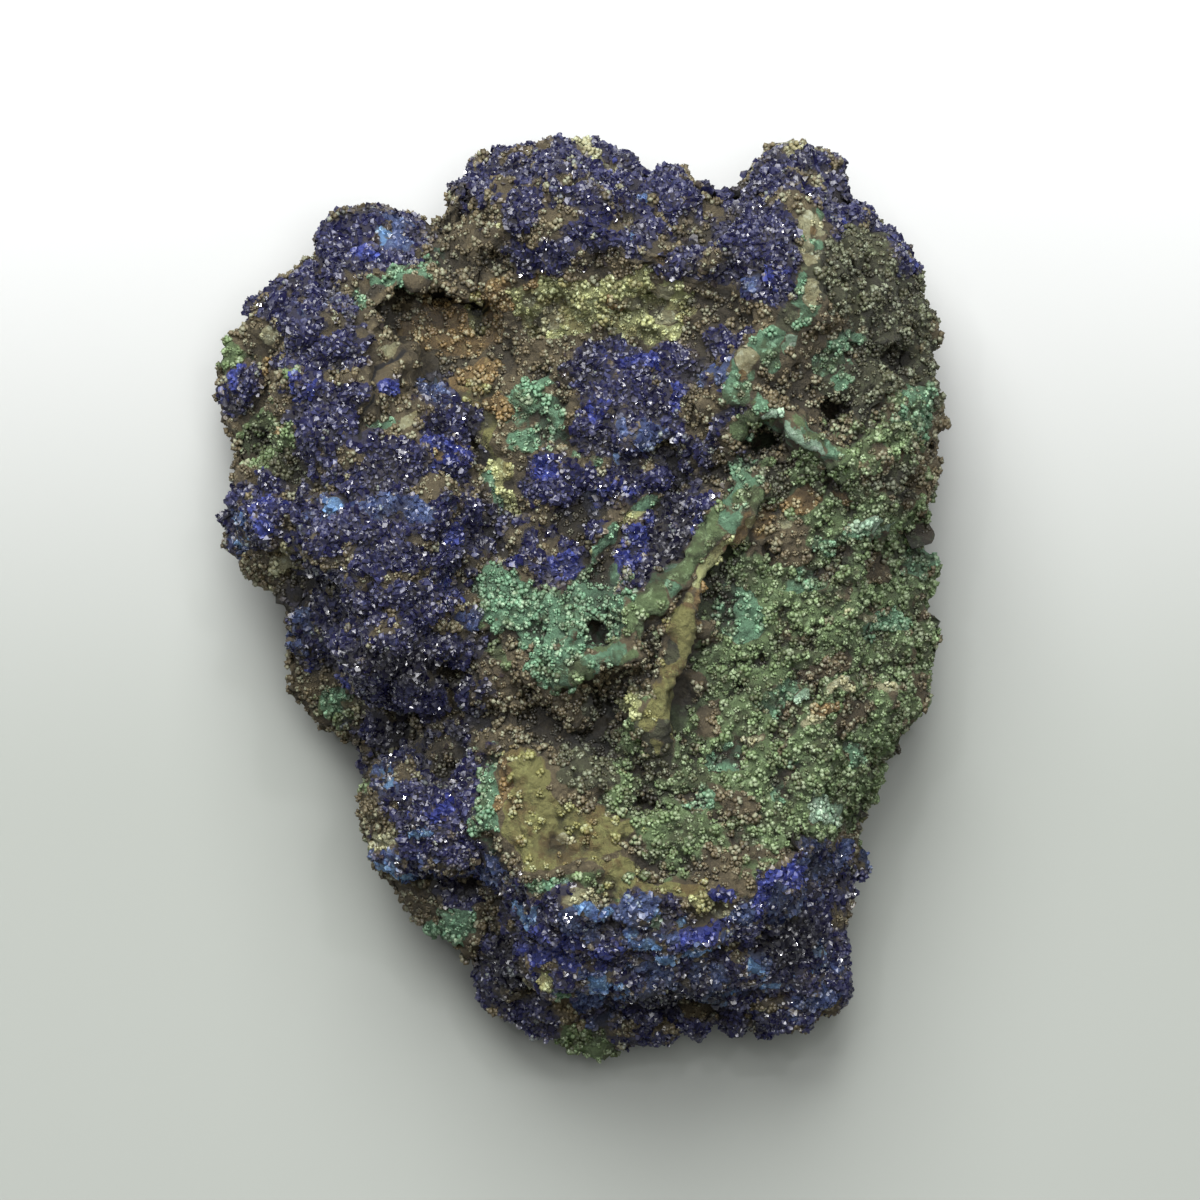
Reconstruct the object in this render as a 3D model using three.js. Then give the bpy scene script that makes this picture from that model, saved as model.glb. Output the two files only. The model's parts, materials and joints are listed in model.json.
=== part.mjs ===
// Azurite specimen: one lump of brown iron-rich rock, grown over with dark blue azurite and green malachite.
// It lies on its broken back with the showy face up. +X is to the right and +Y is up as the face is looked at,
// and +Z points out of the face. The origin is the middle of the underside, on the table. Millimetres.
//
// A ball of triangles is pulled out to the specimen's outline. Its upper half takes the relief of the face,
// which is built up from spot heights, thin crests and pits, and its lower half the relief of the back.
import * as THREE from "three";
import { mergeVertices } from "three/addons/utils/BufferGeometryUtils.js";

// Driving dimensions
const WIDTH = 73.3; // left to right
const LENGTH = 92.8; // bottom edge to top edge of the face
const BALL_DETAIL = 21; // 20 x (21 + 1)^2 triangles
const MIDDLE = [2, 0]; // the point that every part of the outline can be seen from
const RIM_HEIGHT = 12.5; // mean height of the widest section over the table
const RIM_WANDER = 4; // how far that section climbs and dips
const FRONT_ROUNDING = 5.5; // how far in from the outline the face starts to fall away
const BACK_ROUNDING = 10; // the same on the underside
const BACK_LIFT = 2.6; // the broken back stands this far off the table between its feet
const BACK_RELIEF = 2.2; // how rough it is
const FOOT_DROP = 7; // how far the feet are pushed down before the table cuts them flat
const FOOT_RADIUS = 7.5;
const RIM_UNDER_FACE = 0.55; // the widest section is at most this share of the face's height
const SIDE_CARVING = 4; // how deep the broken sides are eaten in from the outline
const SIDE_LEDGE = 4; // height over and under the widest section where that starts
const BORDER_WANDER = 0.9; // the borders between the parts of the face wander this far
const BORDER_SIZE = 3.1; // in waves of this size
const RELAX_FORM = 0.5; // how far the points of the bare form are evened out
const RELAX_LUMPS = 0.25; // and again with its lumps on
const RELAX_RIM = 2; // height over and under the widest section where that starts
const LUMP_SIZE = 6; // broad lumps all over
const LUMP_HEIGHT = 0.8;
const NODULE_SIZE = 3.6; // the blue druse grows in nodules about this wide
const NODULE_HEIGHT = 1.9;

// The outline of the face, anticlockwise from the right-hand side
const OUTLINE = [
  [34.9, -0.4], [35.1, 2.4], [34.6, 3.6], [33.3, 5.0], [33.7, 7.1], [34.8, 8.2], [35.5, 10.8], [35.9, 14.1],
  [34.9, 14.9], [36.3, 17.3], [36.6, 19.1], [36.0, 20.6], [34.9, 21.9], [34.3, 23.7], [35.5, 26.2],
  [34.7, 27.8], [33.7, 29.5], [33.2, 33.2], [31.9, 34.8], [31.4, 36.0], [29.1, 37.4], [28.4, 38.6],
  [26.8, 38.7], [25.9, 40.2], [25.2, 43.6], [24.6, 44.6], [22.7, 45.6], [21.7, 46.4], [20.2, 46.0],
  [18.4, 45.0], [17.1, 43.8], [16.7, 42.2], [15.6, 40.8], [14.0, 41.0], [12.5, 40.0], [11.1, 41.0],
  [10.5, 42.8], [9.2, 42.8], [6.2, 41.9], [4.6, 43.7], [2.9, 44.6], [1.6, 45.5], [-1.5, 45.7], [-3.0, 46.0],
  [-5.1, 45.2], [-8.7, 44.3], [-11.0, 44.1], [-12.7, 41.9], [-11.8, 40.8], [-11.6, 39.7], [-13.4, 37.9],
  [-13.5, 36.7], [-14.7, 36.1], [-15.4, 37.6], [-16.8, 38.3], [-20.1, 39.2], [-23.7, 38.1], [-24.7, 36.9],
  [-26.5, 34.6], [-30.6, 31.8], [-32.3, 30.0], [-33.4, 27.8], [-34.9, 25.5], [-36.7, 21.9], [-36.2, 20.4],
  [-34.1, 16.8], [-34.6, 11.2], [-34.3, 6.5], [-32.5, 3.1], [-30.1, 1.4], [-29.1, -0.4], [-28.4, -4.5],
  [-28.8, -6.8], [-28.1, -10.9], [-27.0, -12.7], [-23.7, -14.3], [-21.7, -15.0], [-20.9, -17.5],
  [-22.0, -19.6], [-21.7, -23.4], [-21.2, -25.7], [-18.4, -29.0], [-17.1, -31.1], [-14.1, -33.9],
  [-11.0, -35.1], [-10.1, -36.9], [-9.0, -41.3], [-7.5, -42.3], [-5.8, -42.2], [-4.1, -43.8], [-1.6, -45.3],
  [0.7, -46.1], [2.3, -46.4], [3.9, -45.3], [6.4, -44.5], [9.2, -44.8], [11.5, -43.8], [13.0, -43.1],
  [15.6, -43.6], [18.4, -43.8], [22.0, -43.4], [23.5, -42.3], [25.0, -42.2], [26.2, -40.0], [26.4, -35.1],
  [26.8, -32.3], [26.5, -29.0], [28.1, -26.6], [27.7, -23.2], [28.7, -21.4], [30.2, -19.0], [30.3, -16.5],
  [31.5, -13.8], [33.2, -11.9], [34.3, -9.2], [35.1, -5.3], [34.6, -2.6],
];

// Spot heights of the face, as x, y and height over the table, for each part of it
const SPOTS = {
  greenPlate: [
    [17, 6, 28], [22, 9, 28], [28, 10, 27], [33, 11, 22], [17, -2, 27], [24, 0, 26], [31, 0, 24], [34, 0, 18],
    [15, -9, 26], [22, -9, 26], [30, -9, 23], [34, -7, 18], [10, -16, 27], [16, -17, 27], [23, -17, 26],
    [28, -17, 22], [7, -24, 28], [13, -25, 28], [19, -25, 27], [24, -23, 25], [27, -22, 20], [5, -12, 25],
    [9, -6, 28],
  ],
  ochreFlat: [
    [-6, -16, 29], [-3, -19, 29.5], [-5, -23, 30], [0, -23, 29.5], [2, -25, 29.5], [-4, -27, 30.5], [2, -28, 30.5],
  ],
  lowerEdge: [
    [-5, -29, 30.5], [0, -29.5, 31], [6, -29.5, 30.5], [11, -29.5, 30], [15, -29, 30], [19, -27, 29],
    [23, -25.5, 27],
  ],
  bottomFace: [
    [-4, -33, 27.5], [2, -33.5, 28], [8, -33, 28.5], [12, -33, 28], [17, -31.5, 27], [-3, -38, 22], [3, -38, 23],
    [9, -38, 22], [14, -37, 22], [-1, -42, 15], [5, -42, 15], [10, -42, 14], [16, -41, 15], [2, -45, 9],
    [21, -42, 15], [24, -40, 14], [25, -34, 18], [25, -29, 20], [26, -25, 20],
  ],
  rightPocket: [[20, -31, 22], [22, -34, 19], [19, -36, 20], [23, -37, 18], [18, -33, 22]],
  septumFoot: [[12.2, 4.4, 27], [9.2, -3, 27], [10.6, -0.6, 27], [6.4, -8, 25]],
  humpHollow: [
    [-2, -10.8, 20], [2, -9.5, 19], [5, -8, 20], [3, -11.5, 21], [-4.5, -12, 21], [6.3, -10, 21],
    [5, -13.5, 23.5],
  ],
  malachiteHump: [
    [-3, -1, 30], [-6, 2, 28], [-1, -4, 32], [-2, -7, 31.5], [2, -5, 30], [5, -3, 30], [-7, -3, 28], [-9, 1, 26],
    [-4, -8, 30], [1, 1, 27], [5, 1, 27],
  ],
  humpLeft: [
    [-9, -5, 26], [-9, -9, 26], [-6, -11, 26], [-8, -14, 25], [-4, -12, 25], [-9, -18, 27], [-8, -22, 28],
  ],
  crystalPocket: [
    [8.7, 6.5, 17.5], [9.5, 8.5, 17.5], [7.5, 3.5, 18.5], [7, 1.5, 20], [9.3, 11, 19.5], [9, 12.5, 21.5],
    [10.3, 7, 19], [4.5, 5, 26], [5.5, 7.5, 25], [5, 2.5, 26.5], [12.3, 8.6, 27], [11.8, 9.8, 26],
  ],
  centreBlue: [
    [-4, 6, 25], [0, 8, 24], [-3, 11, 26], [1, 13, 26], [5, 12, 25], [9, 12, 24], [13, 11, 25], [10, 16, 27],
    [6, 17, 27], [1, 18, 27], [5, 22, 27], [9, 22, 27], [13, 20, 29], [14, 15, 28], [-1, 22, 26], [-4, 3, 25],
  ],
  leftValley: [
    [-9, 6, 22], [-8, 10, 23], [-7, 15, 23.5], [-10, 14, 21], [-10, 18, 21.5], [-6, 19, 24], [-9, 22, 21],
    [-5, 24, 22],
  ],
  upperCavity: [
    [-13, 24, 19], [-17, 27, 18], [-10, 27, 18], [-14, 29, 16.5], [-9, 24, 19.5], [-18, 30, 17], [-13, 31, 15],
    [-15, 21, 20], [-5, 27, 21],
  ],
  yellowWall: [
    [-3, 28, 24], [0, 26, 24], [4, 28, 26], [8, 28, 26.5], [11, 27, 27], [-2, 24, 23.5], [5, 25, 25.5],
    [14, 27, 28],
  ],
  topRim: [
    [-9, 36, 27], [-8, 40, 27], [-5, 38, 30], [-2, 36, 31], [-1, 41, 30], [2, 38, 32], [6, 35, 32], [10, 37, 31],
    [14, 36, 32], [18, 36, 32], [5, 32, 30], [10, 32, 30], [15, 31, 30], [19, 31, 32], [0, 32, 28],
    [-5, 33, 27], [-9, 32, 24], [18, 41, 27], [21, 43, 24], [24, 40, 25], [21, 39, 28], [12, 40, 26], [7, 41, 25],
    [-5, 44, 22], [2, 44, 21], [-10, 43, 22], [-11, 38, 24],
  ],
  rightCrest: [[22, 36, 35], [22, 32, 35.5], [21, 28, 34.5], [19, 24, 33], [16, 21, 32], [16, 18, 31]],
  rightDome: [
    [26, 35, 33], [30, 34, 27], [26, 31, 34], [30, 30, 31], [33, 30, 23], [26, 27, 33], [30, 26, 30],
    [34, 26, 22], [25, 22, 31], [29, 21, 30], [33, 21, 24], [35.5, 19, 18], [27, 17, 30], [32, 17, 26],
    [24, 18, 30], [35, 16, 20], [28, 38, 24], [32, 33, 22],
  ],
  whiteRidge: [[18, 17, 31.5], [21, 15.5, 32], [24, 14, 31.5], [16, 15.5, 30]],
  block: [[28, 13.5, 30.5], [32, 13.8, 28], [34.5, 13, 23], [27, 11.5, 29], [31, 11.5, 27.5]],
  slabTop: [
    [-28, 26, 29], [-25, 28, 30], [-22, 26, 31], [-27, 21, 31], [-22, 20, 33], [-18, 22, 30], [-16, 18, 30],
    [-29, 17, 29], [-24, 15, 33], [-18, 15, 33], [-14, 14, 30], [-20, 11, 33], [-26, 10, 30],
  ],
  slabLow: [
    [-15, 9, 34], [-21, 7, 35], [-25, 4, 33], [-13, 4, 33], [-18, 2, 37], [-23, 0, 35.5], [-14, -1, 34],
    [-18, -4, 36.5], [-24, -4, 33], [-13, -5, 31], [-21, -7, 33.5], [-16, -8, 31], [-11, 3, 27], [-26, -2, 29],
  ],
  slabFoot: [[-19, -11, 21], [-24, -9, 22], [-14, -11, 22], [-12, -8, 24], [-16, -14, 19]],
  slabLeft: [
    [-31, 13, 25], [-33, 11, 21], [-31, 8, 25], [-33, 6, 20], [-29, 5, 27], [-31, 3, 22], [-28, 1, 26],
    [-28, 12, 27], [-30, 20, 27],
  ],
  leftBackLobe: [[-34, 22, 14], [-32, 25, 15], [-31, 28, 16], [-35, 20, 12], [-33, 17, 15]],
  topLeftKnob: [[-22, 36, 20], [-19, 37, 19], [-17, 35, 19], [-25, 33, 18], [-21, 33, 21], [-16, 37, 14]],
  greenRoll: [[-24, 30, 26], [-20, 31, 26.5], [-17, 32, 26], [-14.5, 34, 24], [-22, 28, 27]],
  lowBackLobe: [[-27, -8, 14], [-26, -12, 13], [-23, -13, 14], [-21, -12, 15]],
  lowValley: [
    [-10, -12, 21], [-12, -14, 20], [-17, -16, 17], [-10, -16, 22], [-14, -18, 19], [-20, -16, 14],
  ],
  lowKnob: [
    [-18, -18, 24], [-20, -21, 24], [-15, -21, 26.5], [-11, -20, 26], [-18, -25, 25], [-14, -25, 26],
    [-11, -26, 25], [-20, -24, 20],
  ],
  lowHollow: [[-15, -28.5, 15], [-11, -28.5, 16], [-9, -30, 18]],
  lowSmallKnob: [[-13, -32, 20], [-12, -33, 19], [-15, -31, 17]],
  lowLobe: [[-9, -33, 16], [-8, -37, 15], [-8, -40, 12], [-6, -35, 18], [-5, -41, 13]],
};

// Thin crests, each a line of x, y and height of its top, with half the width of the top and how far a side
// takes to fall by CREST_DROP
const CREST_DROP = 3;
const CRESTS = [
  {
    name: "thin septum", half: 0.6, side: 0.9,
    line: [[16, 7.8, 29.5], [13.5, 4.2, 30.5], [11.2, 0.4, 31], [10.2, -2.5, 31]],
  },
  {
    name: "olive blade", half: 1.2, side: 1.1,
    line: [[10.2, -2.5, 31], [9.4, -5.5, 30.5], [8.3, -8.5, 30], [7.9, -12, 29.5], [7.5, -14.5, 29]],
  },
  {
    name: "teal crest", half: 1.1, side: 1.3,
    line: [
      [16.5, 10.5, 30.5], [13.2, 7, 31.5], [10.3, 3.4, 31.5], [7.8, 0.6, 31.5], [5.6, -2, 31.8],
      [4.5, -4.8, 32], [1.5, -6.2, 31.5], [-1, -8.4, 31],
    ],
  },
  {
    name: "cream crest", half: 1.1, side: 1.8,
    line: [[22.5, 37, 35.5], [22, 33, 36.5], [22, 29, 36], [19.5, 26, 34.5], [16, 23, 33.5], [15, 20, 33]],
  },
  {
    name: "white crest", half: 1.1, side: 1.5,
    line: [[15.5, 16.3, 31], [17.2, 18.4, 33.5], [21.3, 16.2, 34], [24.8, 13.6, 33]],
  },
  {
    name: "pocket blade", half: 0.5, side: 0.9,
    line: [[6.8, 9.6, 25], [4, 7.4, 27], [2.8, 5.6, 28], [1, 4.2, 28.5]],
  },
  {
    name: "pale band", half: 0.9, side: 1.2,
    line: [[9.5, -34, 29], [13.3, -32.9, 28.5], [16.4, -30.8, 28], [19.6, -27.7, 28], [25.8, -25.2, 25]],
  },
];

// Pits and caves: middle, half length, half width, turn in degrees and depth
const PITS = [
  { name: "cave under the white crest", at: [18.3, 14.8], size: [2.3, 0.9], turn: -12, depth: 9 },
  { name: "pit in the dome", at: [30.8, 23.6], size: [1.7, 1.3], turn: 0, depth: 6 },
  { name: "second pit in the dome", at: [24.2, 18], size: [1.6, 1.4], turn: 0, depth: 6 },
  { name: "slot in the upper cavity", at: [-14, 30.5], size: [2.6, 0.9], turn: 10, depth: 4 },
  { name: "hole in the hump", at: [1.6, -3.3], size: [1.4, 0.8], turn: -35, depth: 4 },
  { name: "pit in the plate", at: [19, 3.5], size: [0.9, 1.8], turn: 0, depth: 3 },
  { name: "low pit in the plate", at: [7, -20.5], size: [2, 0.8], turn: -10, depth: 3 },
];

// The flat places of the back that the specimen rests on
const FEET = [[-20, 8], [18, 19], [9, -27], [-3, 29]];

// Where the blue druse grows: middle and half sizes of each patch
const DRUSE = [
  { name: "top band", at: [4, 37], size: [21, 8] },
  { name: "slab", at: [-20, 4], size: [10, 22] },
  { name: "centre", at: [5, 15], size: [10, 11] },
  { name: "bottom", at: [10, -38], size: [16, 8] },
  { name: "lower knob", at: [-14, -22], size: [7, 12] },
];

const smooth = (from, to, value) => {
  const t = Math.min(1, Math.max(0, (value - from) / (to - from)));
  return t * t * (3 - 2 * t);
};

// A repeatable number from 0 to 1 for each whole-number cell
function cellValue(i, j, k, seed) {
  let h = Math.imul(i, 374761393) + Math.imul(j, 668265263) + Math.imul(k, 1103515245) + Math.imul(seed, 1274126177);
  h = Math.imul(h ^ (h >>> 13), 1274126177);
  h = Math.imul(h ^ (h >>> 16), 2246822519);
  h ^= h >>> 15;
  return (h & 0xffffff) / 0x1000000;
}

// Smooth noise from -1 to 1
function noise(x, y, z, seed) {
  const [i, j, k] = [x, y, z].map(Math.floor);
  const ease = (t) => t * t * t * (t * (t * 6 - 15) + 10);
  const [u, v, w] = [ease(x - i), ease(y - j), ease(z - k)];
  let sum = 0;
  for (const dx of [0, 1])
    for (const dy of [0, 1])
      for (const dz of [0, 1])
        sum += (dx ? u : 1 - u) * (dy ? v : 1 - v) * (dz ? w : 1 - w) * cellValue(i + dx, j + dy, k + dz, seed);
  return 2 * sum - 1;
}

// Noise in several sizes, from a largest size in millimetres downwards
function roughness(x, y, z, size, layers, seed) {
  let sum = 0;
  let strength = 1;
  for (let n = 0; n < layers; n++) {
    sum += strength * noise(x / size + 13.7 * n, y / size + 7.1 * n, z / size + 3.3 * n, seed + n);
    strength *= 0.5;
    size /= 2.03;
  }
  return sum;
}

// Distance from the nearest point of a scatter with one point to a cell, from 0 to about 1
function nodules(x, y, z, size, seed) {
  const [px, py, pz] = [x / size, y / size, z / size];
  const [i, j, k] = [px, py, pz].map(Math.floor);
  let nearest = 9;
  for (let a = i - 1; a <= i + 1; a++)
    for (let b = j - 1; b <= j + 1; b++)
      for (let c = k - 1; c <= k + 1; c++) {
        const dx = a + cellValue(a, b, c, seed) - px;
        const dy = b + cellValue(a, b, c, seed + 1) - py;
        const dz = c + cellValue(a, b, c, seed + 2) - pz;
        nearest = Math.min(nearest, Math.hypot(dx, dy, dz));
      }
  return nearest;
}

// Distance from a point to a line of two ends, and how far along it the nearest place is
function fromSegment(x, y, a, b) {
  const [dx, dy] = [b[0] - a[0], b[1] - a[1]];
  const t = Math.min(1, Math.max(0, ((x - a[0]) * dx + (y - a[1]) * dy) / (dx * dx + dy * dy)));
  return [Math.hypot(x - a[0] - t * dx, y - a[1] - t * dy), t];
}

const spots = Object.values(SPOTS).flat();
const SPOT_REACH = 1.2;
const SPOT_POWER = 2.2;
function spotHeight(x, y) {
  let sum = 0;
  let share = 0;
  for (const [sx, sy, sz] of spots) {
    const weight = ((x - sx) ** 2 + (y - sy) ** 2 + SPOT_REACH ** 2) ** -SPOT_POWER;
    sum += weight * sz;
    share += weight;
  }
  return sum / share;
}

function crestHeight(x, y) {
  let top = -Infinity;
  for (const { line, half, side } of CRESTS)
    for (let n = 1; n < line.length; n++) {
      const [distance, t] = fromSegment(x, y, line[n - 1], line[n]);
      const crest = line[n - 1][2] + t * (line[n][2] - line[n - 1][2]);
      top = Math.max(top, crest - (CREST_DROP * Math.max(distance - half, 0)) / side);
    }
  return top;
}

function pitDepth(x, y) {
  let sum = 0;
  for (const { at, size, turn, depth } of PITS) {
    const angle = THREE.MathUtils.degToRad(turn);
    const [dx, dy] = [x - at[0], y - at[1]];
    const u = (dx * Math.cos(angle) + dy * Math.sin(angle)) / size[0];
    const v = (-dx * Math.sin(angle) + dy * Math.cos(angle)) / size[1];
    sum += depth * smooth(1.35, 0.5, Math.hypot(u, v));
  }
  return sum;
}

// Height of the face, with the borders between its parts made ragged
function faceHeight(x, y) {
  const wx = x + BORDER_WANDER * noise(x / BORDER_SIZE, y / BORDER_SIZE, 0, 11);
  const wy = y + BORDER_WANDER * noise(x / BORDER_SIZE, y / BORDER_SIZE, 0, 21);
  return Math.max(spotHeight(wx, wy), crestHeight(wx, wy)) - pitDepth(wx, wy);
}

// Height of the broken back, which is later cut off flat where it meets the table
function backHeight(x, y) {
  const feet = FEET.map(([fx, fy]) => Math.exp(-((x - fx) ** 2 + (y - fy) ** 2) / FOOT_RADIUS ** 2));
  return BACK_LIFT + BACK_RELIEF * roughness(x, y, 0, 14, 3, 31) - FOOT_DROP * Math.max(...feet);
}

// Height of the widest section, which stays well under the face where the face is low
const rimHeight = (x, y) =>
  Math.min(RIM_HEIGHT + RIM_WANDER * noise(x / 15, y / 15, 0, 61), RIM_UNDER_FACE * spotHeight(x, y));

// How far a place on the side is eaten in: not at all at the widest section, so the outline stays true
function sideCarving(x, y, z, share) {
  const offRim = 1 - Math.exp(-(((z - rimHeight(x, y)) / SIDE_LEDGE) ** 2));
  return SIDE_CARVING * offRim * smooth(0.72, 0.92, share) * smooth(-0.6, 0.7, roughness(x, y, z, 10, 2, 71));
}

const bearings = OUTLINE.map(([x, y]) => {
  const [dx, dy] = [x - MIDDLE[0], y - MIDDLE[1]];
  return { angle: Math.atan2(dy, dx), radius: Math.hypot(dx, dy) };
}).sort((a, b) => a.angle - b.angle);

// How far the outline is from the middle in a direction
function outlineRadius(angle) {
  let after = bearings.findIndex((b) => b.angle > angle);
  if (after < 0) after = 0;
  const a = bearings[(after + bearings.length - 1) % bearings.length];
  const b = bearings[after];
  const turn = (from, to) => (to - from + 4 * Math.PI) % (2 * Math.PI);
  return a.radius + ((b.radius - a.radius) * turn(a.angle, angle)) / turn(a.angle, b.angle);
}

const distanceToOutline = (x, y) =>
  Math.min(...OUTLINE.map((p, n) => fromSegment(x, y, p, OUTLINE[(n + 1) % OUTLINE.length])[0]));

// Quarter-round edge: 0 at the outline, and 1 from the rounding inwards
function edgeShare(distance, rounding) {
  const t = 1 - Math.min(1, distance / rounding);
  return Math.sqrt(1 - t * t);
}

// Where the ball's rings go: the share of the outline's radius at each share of the way from front to back
const RINGS = { frontDisc: 0.42, rim: 0.64, backRim: 0.82, frontRadius: 0.86, backRadius: 0.76 };
function ringRadius(way) {
  const { frontDisc, rim, backRim, frontRadius, backRadius } = RINGS;
  if (way < frontDisc) return frontRadius * Math.sqrt(way / frontDisc);
  if (way < rim) return frontRadius + (1 - frontRadius) * Math.sin((Math.PI / 2) * ((way - frontDisc) / (rim - frontDisc)));
  if (way < backRim) return 1 - (1 - backRadius) * (1 - Math.cos((Math.PI / 2) * ((way - rim) / (backRim - rim))));
  return backRadius * Math.sqrt((1 - way) / (1 - backRim));
}

// Evens the triangles out on steep walls: each point goes a share of the way to the middle of its neighbours,
// and the points of the widest section stay where they are
function relax(geometry, share) {
  const position = geometry.getAttribute("position");
  const corners = geometry.index.array;
  const middle = Array.from({ length: position.count }, () => new THREE.Vector3());
  const neighbours = new Array(position.count).fill(0);
  const corner = new THREE.Vector3();
  for (let n = 0; n < corners.length; n++) {
    const next = n % 3 === 2 ? corners[n - 2] : corners[n + 1];
    middle[corners[n]].add(corner.fromBufferAttribute(position, next));
    neighbours[corners[n]] += 1;
  }
  middle.forEach((sum, n) => {
    corner.fromBufferAttribute(position, n);
    const offRim = 1 - Math.exp(-(((corner.z - rimHeight(corner.x, corner.y)) / RELAX_RIM) ** 2));
    corner.lerp(sum.divideScalar(neighbours[n]), share * offRim);
    position.setXYZ(n, corner.x, corner.y, corner.z);
  });
}

function specimenGeometry() {
  const ball = new THREE.IcosahedronGeometry(1, BALL_DETAIL);
  ball.deleteAttribute("normal");
  ball.deleteAttribute("uv");
  const geometry = mergeVertices(ball, 1e-5);
  const position = geometry.getAttribute("position");
  const point = new THREE.Vector3();
  for (let n = 0; n < position.count; n++) {
    point.fromBufferAttribute(position, n).normalize();
    const way = (1 - point.z) / 2;
    const angle = Math.atan2(point.y, point.x);
    const share = ringRadius(way);
    const radius = share * outlineRadius(angle);
    const x = MIDDLE[0] + radius * Math.cos(angle);
    const y = MIDDLE[1] + radius * Math.sin(angle);
    const distance = distanceToOutline(x, y);
    const rim = rimHeight(x, y);
    const z =
      way < RINGS.rim
        ? rim + (faceHeight(x, y) - rim) * edgeShare(distance, FRONT_ROUNDING)
        : rim + (backHeight(x, y) - rim) * edgeShare(distance, BACK_ROUNDING);
    const carving = sideCarving(x, y, z, share);
    position.setXYZ(n, x - carving * Math.cos(angle), y - carving * Math.sin(angle), z);
  }
  relax(geometry, RELAX_FORM);
  geometry.computeVertexNormals();
  const normal = geometry.getAttribute("normal");
  const out = new THREE.Vector3();
  for (let n = 0; n < position.count; n++) {
    point.fromBufferAttribute(position, n);
    out.fromBufferAttribute(normal, n);
    const { x, y, z } = point;
    const inDruse = Math.max(
      ...DRUSE.map(({ at, size }) => smooth(1.15, 0.85, Math.hypot((x - at[0]) / size[0], (y - at[1]) / size[1]))),
    );
    const lump = LUMP_HEIGHT * roughness(x, y, z, LUMP_SIZE, 2, 41);
    const nodule = NODULE_HEIGHT * (0.6 - nodules(x, y, z, NODULE_SIZE, 51)) * (0.4 + 0.6 * inDruse);
    point.addScaledVector(out, lump + nodule);
    position.setXYZ(n, point.x, point.y, Math.max(0, point.z));
  }
  relax(geometry, RELAX_LUMPS);
  geometry.deleteAttribute("normal");
  geometry.computeBoundingBox();
  const { min, max } = geometry.boundingBox;
  geometry.translate(-(min.x + max.x) / 2, -(min.y + max.y) / 2, -min.z);
  geometry.scale(WIDTH / (max.x - min.x), LENGTH / (max.y - min.y), 1);
  geometry.computeVertexNormals();
  return geometry;
}

const rock = new THREE.MeshStandardMaterial({ color: 0x3c4668, roughness: 0.6, metalness: 0 });

const specimen = new THREE.Mesh(specimenGeometry(), rock);
specimen.name = "azurite_specimen";

const group = new THREE.Group();
group.add(specimen);
export default group;
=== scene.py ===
import json
import math

import bpy
import numpy as np
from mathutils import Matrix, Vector

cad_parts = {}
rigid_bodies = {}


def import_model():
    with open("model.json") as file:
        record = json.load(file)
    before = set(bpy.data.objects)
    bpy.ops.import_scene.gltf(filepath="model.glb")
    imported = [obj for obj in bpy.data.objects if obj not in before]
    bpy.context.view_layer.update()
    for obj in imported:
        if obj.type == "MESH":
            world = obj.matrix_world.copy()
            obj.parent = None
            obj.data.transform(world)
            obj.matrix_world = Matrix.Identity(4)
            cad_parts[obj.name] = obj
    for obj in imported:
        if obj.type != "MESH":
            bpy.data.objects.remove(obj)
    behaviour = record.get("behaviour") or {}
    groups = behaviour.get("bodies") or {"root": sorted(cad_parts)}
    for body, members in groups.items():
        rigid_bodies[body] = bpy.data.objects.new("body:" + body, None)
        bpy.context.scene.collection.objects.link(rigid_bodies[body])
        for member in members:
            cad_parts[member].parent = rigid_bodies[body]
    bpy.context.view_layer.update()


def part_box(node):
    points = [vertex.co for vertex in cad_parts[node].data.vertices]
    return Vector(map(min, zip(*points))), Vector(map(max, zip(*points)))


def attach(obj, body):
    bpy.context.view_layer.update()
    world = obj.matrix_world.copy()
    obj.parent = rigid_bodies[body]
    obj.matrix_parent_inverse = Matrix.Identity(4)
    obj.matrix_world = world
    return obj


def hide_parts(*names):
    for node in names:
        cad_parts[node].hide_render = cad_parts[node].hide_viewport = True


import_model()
MM = 0.001  # the sizes below are in millimetres, and the meshes in metres

# The rock
# One lump of brown iron-rich rock. Azurite, malachite and yellow limonite grew in its hollows and over its
# faces from copper-rich water, so all of it is one piece, broken from a bigger one at the sides and the back.
# Its form is the solid's, from the same outline, spot heights, crests and pits, with the finer relief added.
ROCK_STEPS = 97  # 20 x 97 x 97 triangles
MIDDLE = (2, 0)
RIM_HEIGHT = 12.5
RIM_WANDER = 4
RIM_SIZE = 15
RIM_UNDER_FACE = 0.55
FRONT_ROUNDING = 5.5
BACK_ROUNDING = 10
BACK_LIFT = 2.6
BACK_RELIEF = 2.2
FOOT_DROP = 7
FOOT_RADIUS = 7.5
SIDE_CARVING = 4
SIDE_LEDGE = 4
BORDER_WANDER = 0.9
BORDER_SIZE = 3.1

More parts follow.
